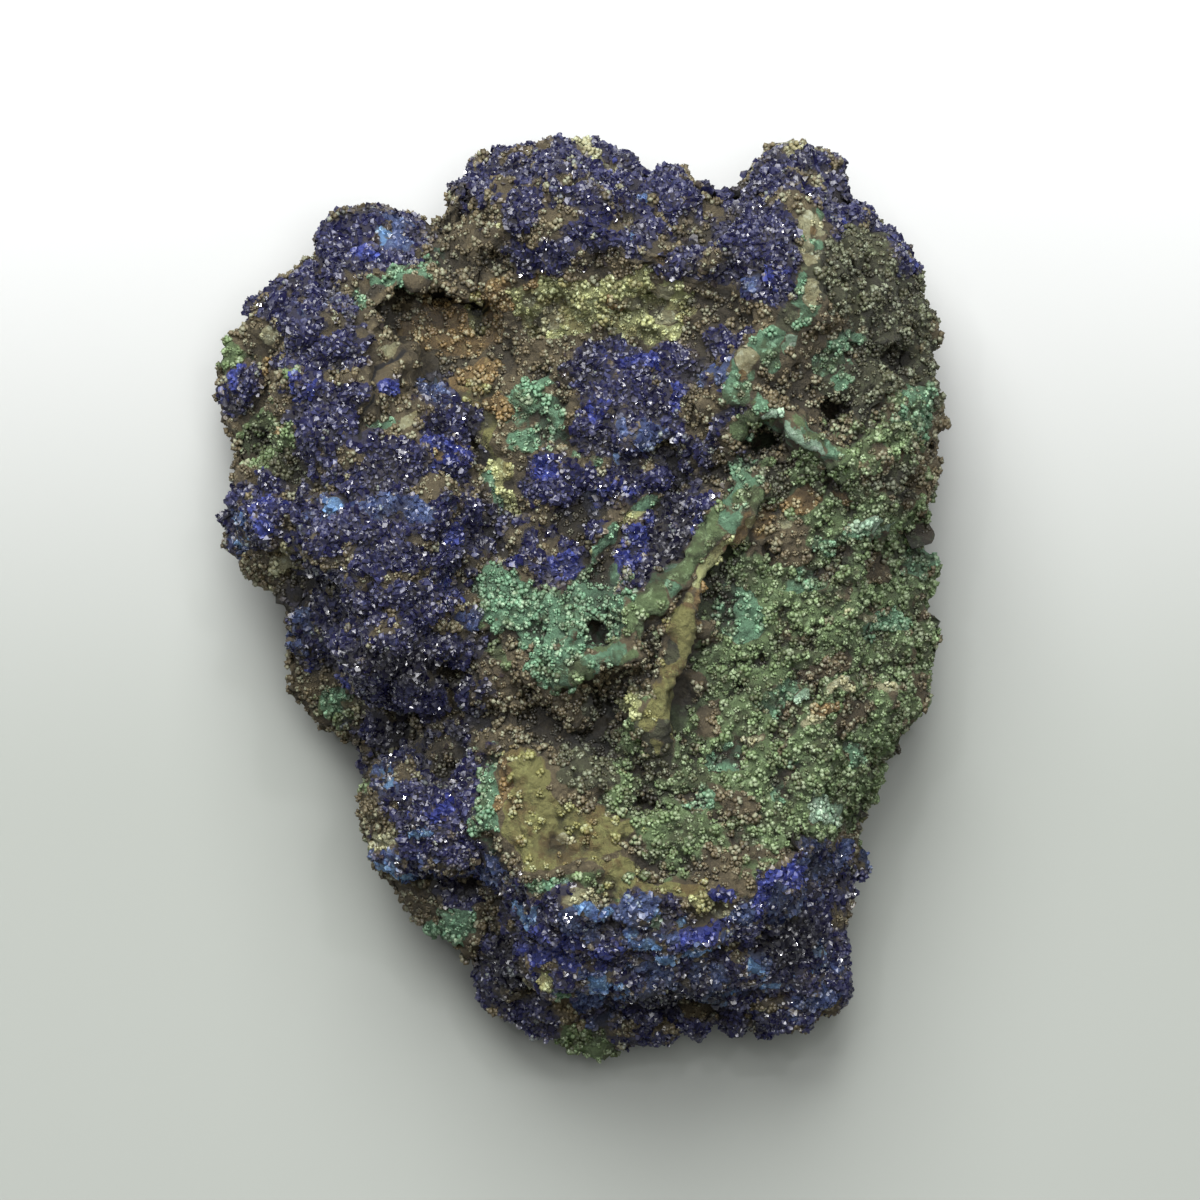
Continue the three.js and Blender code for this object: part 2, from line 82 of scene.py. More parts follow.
OUTLINE = [
    (34.9, -0.4), (35.1, 2.4), (34.6, 3.6), (33.3, 5.0), (33.7, 7.1), (34.8, 8.2), (35.5, 10.8), (35.9, 14.1),
    (34.9, 14.9), (36.3, 17.3), (36.6, 19.1), (36.0, 20.6), (34.9, 21.9), (34.3, 23.7), (35.5, 26.2),
    (34.7, 27.8), (33.7, 29.5), (33.2, 33.2), (31.9, 34.8), (31.4, 36.0), (29.1, 37.4), (28.4, 38.6),
    (26.8, 38.7), (25.9, 40.2), (25.2, 43.6), (24.6, 44.6), (22.7, 45.6), (21.7, 46.4), (20.2, 46.0),
    (18.4, 45.0), (17.1, 43.8), (16.7, 42.2), (15.6, 40.8), (14.0, 41.0), (12.5, 40.0), (11.1, 41.0),
    (10.5, 42.8), (9.2, 42.8), (6.2, 41.9), (4.6, 43.7), (2.9, 44.6), (1.6, 45.5), (-1.5, 45.7), (-3.0, 46.0),
    (-5.1, 45.2), (-8.7, 44.3), (-11.0, 44.1), (-12.7, 41.9), (-11.8, 40.8), (-11.6, 39.7), (-13.4, 37.9),
    (-13.5, 36.7), (-14.7, 36.1), (-15.4, 37.6), (-16.8, 38.3), (-20.1, 39.2), (-23.7, 38.1), (-24.7, 36.9),
    (-26.5, 34.6), (-30.6, 31.8), (-32.3, 30.0), (-33.4, 27.8), (-34.9, 25.5), (-36.7, 21.9), (-36.2, 20.4),
    (-34.1, 16.8), (-34.6, 11.2), (-34.3, 6.5), (-32.5, 3.1), (-30.1, 1.4), (-29.1, -0.4), (-28.4, -4.5),
    (-28.8, -6.8), (-28.1, -10.9), (-27.0, -12.7), (-23.7, -14.3), (-21.7, -15.0), (-20.9, -17.5),
    (-22.0, -19.6), (-21.7, -23.4), (-21.2, -25.7), (-18.4, -29.0), (-17.1, -31.1), (-14.1, -33.9),
    (-11.0, -35.1), (-10.1, -36.9), (-9.0, -41.3), (-7.5, -42.3), (-5.8, -42.2), (-4.1, -43.8), (-1.6, -45.3),
    (0.7, -46.1), (2.3, -46.4), (3.9, -45.3), (6.4, -44.5), (9.2, -44.8), (11.5, -43.8), (13.0, -43.1),
    (15.6, -43.6), (18.4, -43.8), (22.0, -43.4), (23.5, -42.3), (25.0, -42.2), (26.2, -40.0), (26.4, -35.1),
    (26.8, -32.3), (26.5, -29.0), (28.1, -26.6), (27.7, -23.2), (28.7, -21.4), (30.2, -19.0), (30.3, -16.5),
    (31.5, -13.8), (33.2, -11.9), (34.3, -9.2), (35.1, -5.3), (34.6, -2.6),
]

SPOTS = {
    "green plate": [
        (17, 6, 28), (22, 9, 28), (28, 10, 27), (33, 11, 22), (17, -2, 27), (24, 0, 26), (31, 0, 24),
        (34, 0, 18), (15, -9, 26), (22, -9, 26), (30, -9, 23), (34, -7, 18), (10, -16, 27), (16, -17, 27),
        (23, -17, 26), (28, -17, 22), (7, -24, 28), (13, -25, 28), (19, -25, 27), (24, -23, 25),
        (27, -22, 20), (5, -12, 25), (9, -6, 28),
    ],
    "ochre flat": [
        (-6, -16, 29), (-3, -19, 29.5), (-5, -23, 30), (0, -23, 29.5), (2, -25, 29.5), (-4, -27, 30.5),
        (2, -28, 30.5),
    ],
    "lower edge": [
        (-5, -29, 30.5), (0, -29.5, 31), (6, -29.5, 30.5), (11, -29.5, 30), (15, -29, 30), (19, -27, 29),
        (23, -25.5, 27),
    ],
    "bottom face": [
        (-4, -33, 27.5), (2, -33.5, 28), (8, -33, 28.5), (12, -33, 28), (17, -31.5, 27), (-3, -38, 22),
        (3, -38, 23), (9, -38, 22), (14, -37, 22), (-1, -42, 15), (5, -42, 15), (10, -42, 14),
        (16, -41, 15), (2, -45, 9), (21, -42, 15), (24, -40, 14), (25, -34, 18), (25, -29, 20),
        (26, -25, 20),
    ],
    "right pocket": [(20, -31, 22), (22, -34, 19), (19, -36, 20), (23, -37, 18), (18, -33, 22)],
    "septum foot": [(12.2, 4.4, 27), (9.2, -3, 27), (10.6, -0.6, 27), (6.4, -8, 25)],
    "hump hollow": [
        (-2, -10.8, 20), (2, -9.5, 19), (5, -8, 20), (3, -11.5, 21), (-4.5, -12, 21), (6.3, -10, 21),
        (5, -13.5, 23.5),
    ],
    "malachite hump": [
        (-3, -1, 30), (-6, 2, 28), (-1, -4, 32), (-2, -7, 31.5), (2, -5, 30), (5, -3, 30), (-7, -3, 28),
        (-9, 1, 26), (-4, -8, 30), (1, 1, 27), (5, 1, 27),
    ],
    "hump left": [
        (-9, -5, 26), (-9, -9, 26), (-6, -11, 26), (-8, -14, 25), (-4, -12, 25), (-9, -18, 27),
        (-8, -22, 28),
    ],
    "crystal pocket": [
        (8.7, 6.5, 17.5), (9.5, 8.5, 17.5), (7.5, 3.5, 18.5), (7, 1.5, 20), (9.3, 11, 19.5),
        (9, 12.5, 21.5), (10.3, 7, 19), (4.5, 5, 26), (5.5, 7.5, 25), (5, 2.5, 26.5), (12.3, 8.6, 27),
        (11.8, 9.8, 26),
    ],
    "centre blue": [
        (-4, 6, 25), (0, 8, 24), (-3, 11, 26), (1, 13, 26), (5, 12, 25), (9, 12, 24), (13, 11, 25),
        (10, 16, 27), (6, 17, 27), (1, 18, 27), (5, 22, 27), (9, 22, 27), (13, 20, 29), (14, 15, 28),
        (-1, 22, 26), (-4, 3, 25),
    ],
    "left valley": [
        (-9, 6, 22), (-8, 10, 23), (-7, 15, 23.5), (-10, 14, 21), (-10, 18, 21.5), (-6, 19, 24),
        (-9, 22, 21), (-5, 24, 22),
    ],
    "upper cavity": [
        (-13, 24, 19), (-17, 27, 18), (-10, 27, 18), (-14, 29, 16.5), (-9, 24, 19.5), (-18, 30, 17),
        (-13, 31, 15), (-15, 21, 20), (-5, 27, 21),
    ],
    "yellow wall": [
        (-3, 28, 24), (0, 26, 24), (4, 28, 26), (8, 28, 26.5), (11, 27, 27), (-2, 24, 23.5), (5, 25, 25.5),
        (14, 27, 28),
    ],
    "top rim": [
        (-9, 36, 27), (-8, 40, 27), (-5, 38, 30), (-2, 36, 31), (-1, 41, 30), (2, 38, 32), (6, 35, 32),
        (10, 37, 31), (14, 36, 32), (18, 36, 32), (5, 32, 30), (10, 32, 30), (15, 31, 30), (19, 31, 32),
        (0, 32, 28), (-5, 33, 27), (-9, 32, 24), (18, 41, 27), (21, 43, 24), (24, 40, 25), (21, 39, 28),
        (12, 40, 26), (7, 41, 25), (-5, 44, 22), (2, 44, 21), (-10, 43, 22), (-11, 38, 24),
    ],
    "right crest": [(22, 36, 35), (22, 32, 35.5), (21, 28, 34.5), (19, 24, 33), (16, 21, 32), (16, 18, 31)],
    "right dome": [
        (26, 35, 33), (30, 34, 27), (26, 31, 34), (30, 30, 31), (33, 30, 23), (26, 27, 33), (30, 26, 30),
        (34, 26, 22), (25, 22, 31), (29, 21, 30), (33, 21, 24), (35.5, 19, 18), (27, 17, 30), (32, 17, 26),
        (24, 18, 30), (35, 16, 20), (28, 38, 24), (32, 33, 22),
    ],
    "white ridge": [(18, 17, 31.5), (21, 15.5, 32), (24, 14, 31.5), (16, 15.5, 30)],
    "block": [(28, 13.5, 30.5), (32, 13.8, 28), (34.5, 13, 23), (27, 11.5, 29), (31, 11.5, 27.5)],
    "slab top": [
        (-28, 26, 29), (-25, 28, 30), (-22, 26, 31), (-27, 21, 31), (-22, 20, 33), (-18, 22, 30),
        (-16, 18, 30), (-29, 17, 29), (-24, 15, 33), (-18, 15, 33), (-14, 14, 30), (-20, 11, 33),
        (-26, 10, 30),
    ],
    "slab low": [
        (-15, 9, 34), (-21, 7, 35), (-25, 4, 33), (-13, 4, 33), (-18, 2, 37), (-23, 0, 35.5),
        (-14, -1, 34), (-18, -4, 36.5), (-24, -4, 33), (-13, -5, 31), (-21, -7, 33.5), (-16, -8, 31),
        (-11, 3, 27), (-26, -2, 29),
    ],
    "slab foot": [(-19, -11, 21), (-24, -9, 22), (-14, -11, 22), (-12, -8, 24), (-16, -14, 19)],
    "slab left": [
        (-31, 13, 25), (-33, 11, 21), (-31, 8, 25), (-33, 6, 20), (-29, 5, 27), (-31, 3, 22), (-28, 1, 26),
        (-28, 12, 27), (-30, 20, 27),
    ],
    "left back lobe": [(-34, 22, 14), (-32, 25, 15), (-31, 28, 16), (-35, 20, 12), (-33, 17, 15)],
    "top left knob": [
        (-22, 36, 20), (-19, 37, 19), (-17, 35, 19), (-25, 33, 18), (-21, 33, 21), (-16, 37, 14),
    ],
    "green roll": [(-24, 30, 26), (-20, 31, 26.5), (-17, 32, 26), (-14.5, 34, 24), (-22, 28, 27)],
    "low back lobe": [(-27, -8, 14), (-26, -12, 13), (-23, -13, 14), (-21, -12, 15)],
    "low valley": [
        (-10, -12, 21), (-12, -14, 20), (-17, -16, 17), (-10, -16, 22), (-14, -18, 19), (-20, -16, 14),
    ],
    "low knob": [
        (-18, -18, 24), (-20, -21, 24), (-15, -21, 26.5), (-11, -20, 26), (-18, -25, 25), (-14, -25, 26),
        (-11, -26, 25), (-20, -24, 20),
    ],
    "low hollow": [(-15, -28.5, 15), (-11, -28.5, 16), (-9, -30, 18)],
    "low small knob": [(-13, -32, 20), (-12, -33, 19), (-15, -31, 17)],
    "low lobe": [(-9, -33, 16), (-8, -37, 15), (-8, -40, 12), (-6, -35, 18), (-5, -41, 13)],
}
SPOT_REACH = 1.2
SPOT_POWER = 2.2

# Thin crests: half the width of the top, how far a side takes to fall by CREST_DROP, and the line of the top
CREST_DROP = 3
CRESTS = {
    "thin septum": (0.6, 0.9, [(16, 7.8, 29.5), (13.5, 4.2, 30.5), (11.2, 0.4, 31), (10.2, -2.5, 31)]),
    "olive blade": (1.2, 1.1, [
        (10.2, -2.5, 31), (9.4, -5.5, 30.5), (8.3, -8.5, 30), (7.9, -12, 29.5), (7.5, -14.5, 29),
    ]),
    "teal crest": (1.1, 1.3, [
        (16.5, 10.5, 30.5), (13.2, 7, 31.5), (10.3, 3.4, 31.5), (7.8, 0.6, 31.5), (5.6, -2, 31.8),
        (4.5, -4.8, 32), (1.5, -6.2, 31.5), (-1, -8.4, 31),
    ]),
    "cream crest": (1.1, 1.8, [
        (22.5, 37, 35.5), (22, 33, 36.5), (22, 29, 36), (19.5, 26, 34.5), (16, 23, 33.5), (15, 20, 33),
    ]),
    "white crest": (1.1, 1.5, [(15.5, 16.3, 31), (17.2, 18.4, 33.5), (21.3, 16.2, 34), (24.8, 13.6, 33)]),
    "pocket blade": (0.5, 0.9, [(6.8, 9.6, 25), (4, 7.4, 27), (2.8, 5.6, 28), (1, 4.2, 28.5)]),
    "pale band": (0.9, 1.2, [
        (9.5, -34, 29), (13.3, -32.9, 28.5), (16.4, -30.8, 28), (19.6, -27.7, 28), (25.8, -25.2, 25),
    ]),
}

# Pits and caves: middle, half length, half width, turn in degrees and depth
PITS = {
    "cave under the white crest": (18.3, 14.8, 2.3, 0.9, -12, 9),
    "pit in the dome": (30.8, 23.6, 1.7, 1.3, 0, 6),
    "second pit in the dome": (24.2, 18, 1.6, 1.4, 0, 6),
    "slot in the upper cavity": (-14, 30.5, 2.6, 0.9, 10, 4),
    "hole in the hump": (1.6, -3.3, 1.4, 0.8, -35, 4),
    "pit in the plate": (19, 3.5, 0.9, 1.8, 0, 3),
    "low pit in the plate": (7, -20.5, 2, 0.8, -10, 3),
}
FEET = [(-20, 8), (18, 19), (9, -27), (-3, 29)]


def smooth(start, end, value):
    """0 at start, 1 at end and an eased rise between them."""
    share = np.clip((value - start) / (end - start), 0, 1)
    return share * share * (3 - 2 * share)


def cell_value(i, j, k, seed):
    """A repeatable number from 0 to 1 for each whole-number cell."""
    low_bits = 0xFFFFFFFF
    h = (i * 374761393 + j * 668265263 + k * 1103515245 + seed * 1274126177) & low_bits
    h = ((h ^ (h >> 13)) * 1274126177) & low_bits
    h = ((h ^ (h >> 16)) * 2246822519) & low_bits
    return ((h ^ (h >> 15)) & 0xFFFFFF) / 0x1000000


def noise(x, y, z, seed):
    """Smooth noise from -1 to 1."""
    places = [np.asarray(c, float) + np.zeros(np.shape(x)) for c in (x, y, z)]
    cells = [np.floor(c).astype(np.int64) for c in places]
    eased = []
    for place, cell in zip(places, cells):
        t = place - cell
        eased.append(t * t * t * (t * (t * 6 - 15) + 10))
    total = 0
    for corner in np.ndindex(2, 2, 2):
        weight = 1
        for t, step in zip(eased, corner):
            weight = weight * (t if step else 1 - t)
        total = total + weight * cell_value(*(cell + step for cell, step in zip(cells, corner)), seed)
    return 2 * total - 1


def roughness(x, y, z, size, layers, seed):
    """Noise in several sizes, from a largest size in millimetres downwards."""
    total = 0
    for n in range(layers):
        total = total + 0.5**n * noise(x / size + 13.7 * n, y / size + 7.1 * n, z / size + 3.3 * n, seed + n)
        size = size / 2.03
    return total


def nodules(x, y, z, size, seed):
    """Distance to the nearest point of a scatter with one point to a cell, from 0 to about 1."""
    places = [np.asarray(c, float) / size for c in (x, y, z)]
    cells = [np.floor(c).astype(np.int64) for c in places]
    nearest = np.full(np.shape(x), 9.0)
    for step in np.ndindex(3, 3, 3):
        near = [cell + s - 1 for cell, s in zip(cells, step)]
        apart = sum((near[n] + cell_value(*near, seed + n) - places[n]) ** 2 for n in range(3))
        nearest = np.minimum(nearest, apart)
    return np.sqrt(nearest)


def from_segment(x, y, a, b):
    """Distance from points to a line of two ends, and how far along it the nearest place is."""
    dx, dy = b[0] - a[0], b[1] - a[1]
    t = np.clip(((x - a[0]) * dx + (y - a[1]) * dy) / (dx * dx + dy * dy), 0, 1)
    return np.hypot(x - a[0] - t * dx, y - a[1] - t * dy), t


def from_line(x, y, line):
    """Distance from points to the nearest place on a line of several points."""
    return np.min([from_segment(x, y, a, b)[0] for a, b in zip(line, line[1:])], axis=0)


def face_height(x, y):
    """Height of the face, with the borders between its parts made ragged."""
    x, y = (
        x + BORDER_WANDER * noise(x / BORDER_SIZE, y / BORDER_SIZE, 0, 11),
        y + BORDER_WANDER * noise(x / BORDER_SIZE, y / BORDER_SIZE, 0, 21),
    )
    total, share = spot_sums(x, y)
    height = total / share
    for half, side, line in CRESTS.values():
        for a, b in zip(line, line[1:]):
            distance, t = from_segment(x, y, a, b)
            top = a[2] + t * (b[2] - a[2])
            height = np.maximum(height, top - CREST_DROP * np.maximum(distance - half, 0) / side)
    for *pit, depth in PITS.values():
        height = height - depth * smooth(1.35, 0.5, from_ellipse(x, y, *pit))
    return height


def spot_sums(x, y):
    """Sum of the spot heights by closeness, and the sum of the closeness."""
    total = np.zeros(np.shape(x))
    share = np.zeros(np.shape(x))
    for part in SPOTS.values():
        for sx, sy, sz in part:
            weight = ((x - sx) ** 2 + (y - sy) ** 2 + SPOT_REACH**2) ** -SPOT_POWER
            total += weight * sz
            share += weight
    return total, share


def from_ellipse(x, y, px, py, half_length, half_width, turn=0):
    """Distance from the middle of a turned ellipse, which is 1 on its edge."""
    c, s = math.cos(math.radians(turn)), math.sin(math.radians(turn))
    return np.hypot(((x - px) * c + (y - py) * s) / half_length, ((y - py) * c - (x - px) * s) / half_width)


def back_height(x, y):
    """Height of the broken back, which is later cut off flat where it meets the table."""
    feet = np.max([np.exp(-((x - fx) ** 2 + (y - fy) ** 2) / FOOT_RADIUS**2) for fx, fy in FEET], axis=0)
    return BACK_LIFT + BACK_RELIEF * roughness(x, y, 0, 14, 3, 31) - FOOT_DROP * feet


def geodesic_ball(steps):
    """Points and triangles of a ball made from an icosahedron whose edges are parted into steps."""
    golden = (1 + 5**0.5) / 2
    corners = np.array([
        (-1, golden, 0), (1, golden, 0), (-1, -golden, 0), (1, -golden, 0), (0, -1, golden), (0, 1, golden),
        (0, -1, -golden), (0, 1, -golden), (golden, 0, -1), (golden, 0, 1), (-golden, 0, -1), (-golden, 0, 1),
    ])
    faces = [
        (0, 11, 5), (0, 5, 1), (0, 1, 7), (0, 7, 10), (0, 10, 11), (1, 5, 9), (5, 11, 4), (11, 10, 2),
        (10, 7, 6), (7, 1, 8), (3, 9, 4), (3, 4, 2), (3, 2, 6), (3, 6, 8), (3, 8, 9), (4, 9, 5), (2, 4, 11),
        (6, 2, 10), (8, 6, 7), (9, 8, 1),
    ]
    places = [(i, j) for i in range(steps + 1) for j in range(steps + 1 - i)]
    number = {place: n for n, place in enumerate(places)}
    share = np.array(places) / steps
    triangles = []
    for i, j in places:
        if i + j < steps:
            triangles.append((number[i, j], number[i + 1, j], number[i, j + 1]))
        if i + j < steps - 1:
            triangles.append((number[i + 1, j], number[i + 1, j + 1], number[i, j + 1]))
    triangles = np.array(triangles)
    points, sides = [], []
    for n, (a, b, c) in enumerate(faces):
        start, first_side, second_side = corners[a], corners[b] - corners[a], corners[c] - corners[a]
        points.append(start + share[:, :1] * first_side + share[:, 1:] * second_side)
        sides.append(triangles + n * len(places))
    points = np.concatenate(points)
    points /= np.linalg.norm(points, axis=1, keepdims=True)
    _, first, merged = np.unique(np.round(points, 6), axis=0, return_index=True, return_inverse=True)
    return points[first], merged.reshape(-1)[np.concatenate(sides)]


ball, triangles = geodesic_ball(ROCK_STEPS)
edge_from = triangles.reshape(-1)
edge_to = triangles[:, [1, 2, 0]].reshape(-1)


def neighbour_mean(values, weights=None):
    """Mean of the neighbours' values at each point, by weight of the edges between them."""
    weights = np.ones(len(edge_from)) if weights is None else weights
    share = np.bincount(edge_from, weights, len(ball))
    columns = [np.bincount(edge_from, weights * column[edge_to], len(ball)) / share for column in values.T]
    return np.stack(columns, axis=1)


def point_normals(points):
    """Outward directions at the points, by the size of the triangles around them."""
    a, b, c = (points[triangles[:, n]] for n in range(3))
    across = np.cross(b - a, c - a)
    total = np.stack([
        sum(np.bincount(triangles[:, n], column, len(points)) for n in range(3)) for column in across.T
    ], axis=1)
    return total / np.linalg.norm(total, axis=1, keepdims=True)


# The outline as distance from the middle by direction
bearing = np.array(OUTLINE) - MIDDLE
bearing_angle = np.arctan2(bearing[:, 1], bearing[:, 0])
bearing_order = np.argsort(bearing_angle)
bearing_angle = bearing_angle[bearing_order]
bearing_radius = np.hypot(bearing[:, 0], bearing[:, 1])[bearing_order]


def outline_radius(angle):
    """How far the outline is from the middle in a direction."""
    return np.interp(angle, bearing_angle, bearing_radius, period=2 * math.pi)


# Heights of the face and the back over the whole outline, worked out once on a fine net
NET_STEP = 0.2
NET_REACH = (40, 50)
net_x, net_y = np.meshgrid(
    np.arange(-NET_REACH[0], NET_REACH[0] + NET_STEP, NET_STEP),
    np.arange(-NET_REACH[1], NET_REACH[1] + NET_STEP, NET_STEP),
    indexing="ij",
)
spot_total, spot_share = spot_sums(net_x, net_y)
net_rim = np.minimum(
    RIM_HEIGHT + RIM_WANDER * noise(net_x / RIM_SIZE, net_y / RIM_SIZE, 0, 61),
    RIM_UNDER_FACE * spot_total / spot_share,
)
net_edge = from_line(net_x, net_y, OUTLINE + OUTLINE[:1])


def edge_share(distance, rounding):
    """Quarter-round edge: 0 at the outline and 1 from the rounding inwards."""
    t = 1 - np.minimum(1, distance / rounding)
    return np.sqrt(1 - t * t)


net_face = net_rim + (face_height(net_x, net_y) - net_rim) * edge_share(net_edge, FRONT_ROUNDING)
net_back = net_rim + (back_height(net_x, net_y) - net_rim) * edge_share(net_edge, BACK_ROUNDING)


def from_net(net, x, y):
    """Value of a net at points, evenly between its four nearest knots."""
    u = np.clip((x + NET_REACH[0]) / NET_STEP, 0, net.shape[0] - 1.001)
    v = np.clip((y + NET_REACH[1]) / NET_STEP, 0, net.shape[1] - 1.001)
    i, j = u.astype(int), v.astype(int)
    s, t = u - i, v - j
    near = net[i, j] * (1 - s) + net[i + 1, j] * s
    beyond = net[i, j + 1] * (1 - s) + net[i + 1, j + 1] * s
    return near * (1 - t) + beyond * t


# Share of the outline's radius at each share of the way from front to back
FRONT_DISC, RIM, BACK_RIM = 0.52, 0.72, 0.86
FRONT_RADIUS, BACK_RADIUS = 0.9, 0.78
way = (1 - ball[:, 2]) / 2
angle = np.arctan2(ball[:, 1], ball[:, 0])
quarter = math.pi / 2
ring_radius = np.select(
    [way < FRONT_DISC, way < RIM, way < BACK_RIM],
    [
        FRONT_RADIUS * np.sqrt(np.minimum(way / FRONT_DISC, 1)),
        FRONT_RADIUS + (1 - FRONT_RADIUS) * np.sin(quarter * (way - FRONT_DISC) / (RIM - FRONT_DISC)),
        1 - (1 - BACK_RADIUS) * (1 - np.cos(quarter * (way - RIM) / (BACK_RIM - RIM))),
    ],
    BACK_RADIUS * np.sqrt((1 - way) / (1 - BACK_RIM)),
)
rock = np.zeros((len(ball), 3))
rock[:, 0] = MIDDLE[0] + ring_radius * outline_radius(angle) * np.cos(angle)
rock[:, 1] = MIDDLE[1] + ring_radius * outline_radius(angle) * np.sin(angle)
is_front = way < RIM


def on_form(points):
    """Height of the form at points, from the net of the face or of the back."""
    front, back = (from_net(net, points[:, 0], points[:, 1]) for net in (net_face, net_back))
    return np.where(is_front, front, back)


# The points slide together on steep walls, so that the triangles there aren't drawn out
SLIDE_ROUNDS = 30
SLIDE_SHARE = 0.6
may_slide = smooth(0.0, 0.05, np.abs(way - RIM))[:, None]
for _ in range(SLIDE_ROUNDS):
    rock[:, 2] = on_form(rock)
    edge_length = np.linalg.norm(rock[edge_from] - rock[edge_to], axis=1)
    middle = neighbour_mean(rock[:, :2], edge_length**2.5)
    rock[:, :2] += SLIDE_SHARE * may_slide * (middle - rock[:, :2])
rock[:, 2] = on_form(rock)

# The sides are eaten in over and under the widest section, and the finished form is evened out a little
angle = np.arctan2(rock[:, 1] - MIDDLE[1], rock[:, 0] - MIDDLE[0])
share_out = np.hypot(rock[:, 0] - MIDDLE[0], rock[:, 1] - MIDDLE[1]) / outline_radius(angle)
off_rim = 1 - np.exp(-(((rock[:, 2] - from_net(net_rim, rock[:, 0], rock[:, 1])) / SIDE_LEDGE) ** 2))
eaten = smooth(-0.6, 0.7, roughness(*rock.T, 10, 2, 71))
carving = SIDE_CARVING * off_rim * smooth(0.72, 0.92, share_out) * eaten
rock[:, 0] -= carving * np.cos(angle)
rock[:, 1] -= carving * np.sin(angle)
EVEN_ROUNDS = 3
for _ in range(EVEN_ROUNDS):
    rock += 0.5 * off_rim[:, None] * (neighbour_mean(rock) - rock)

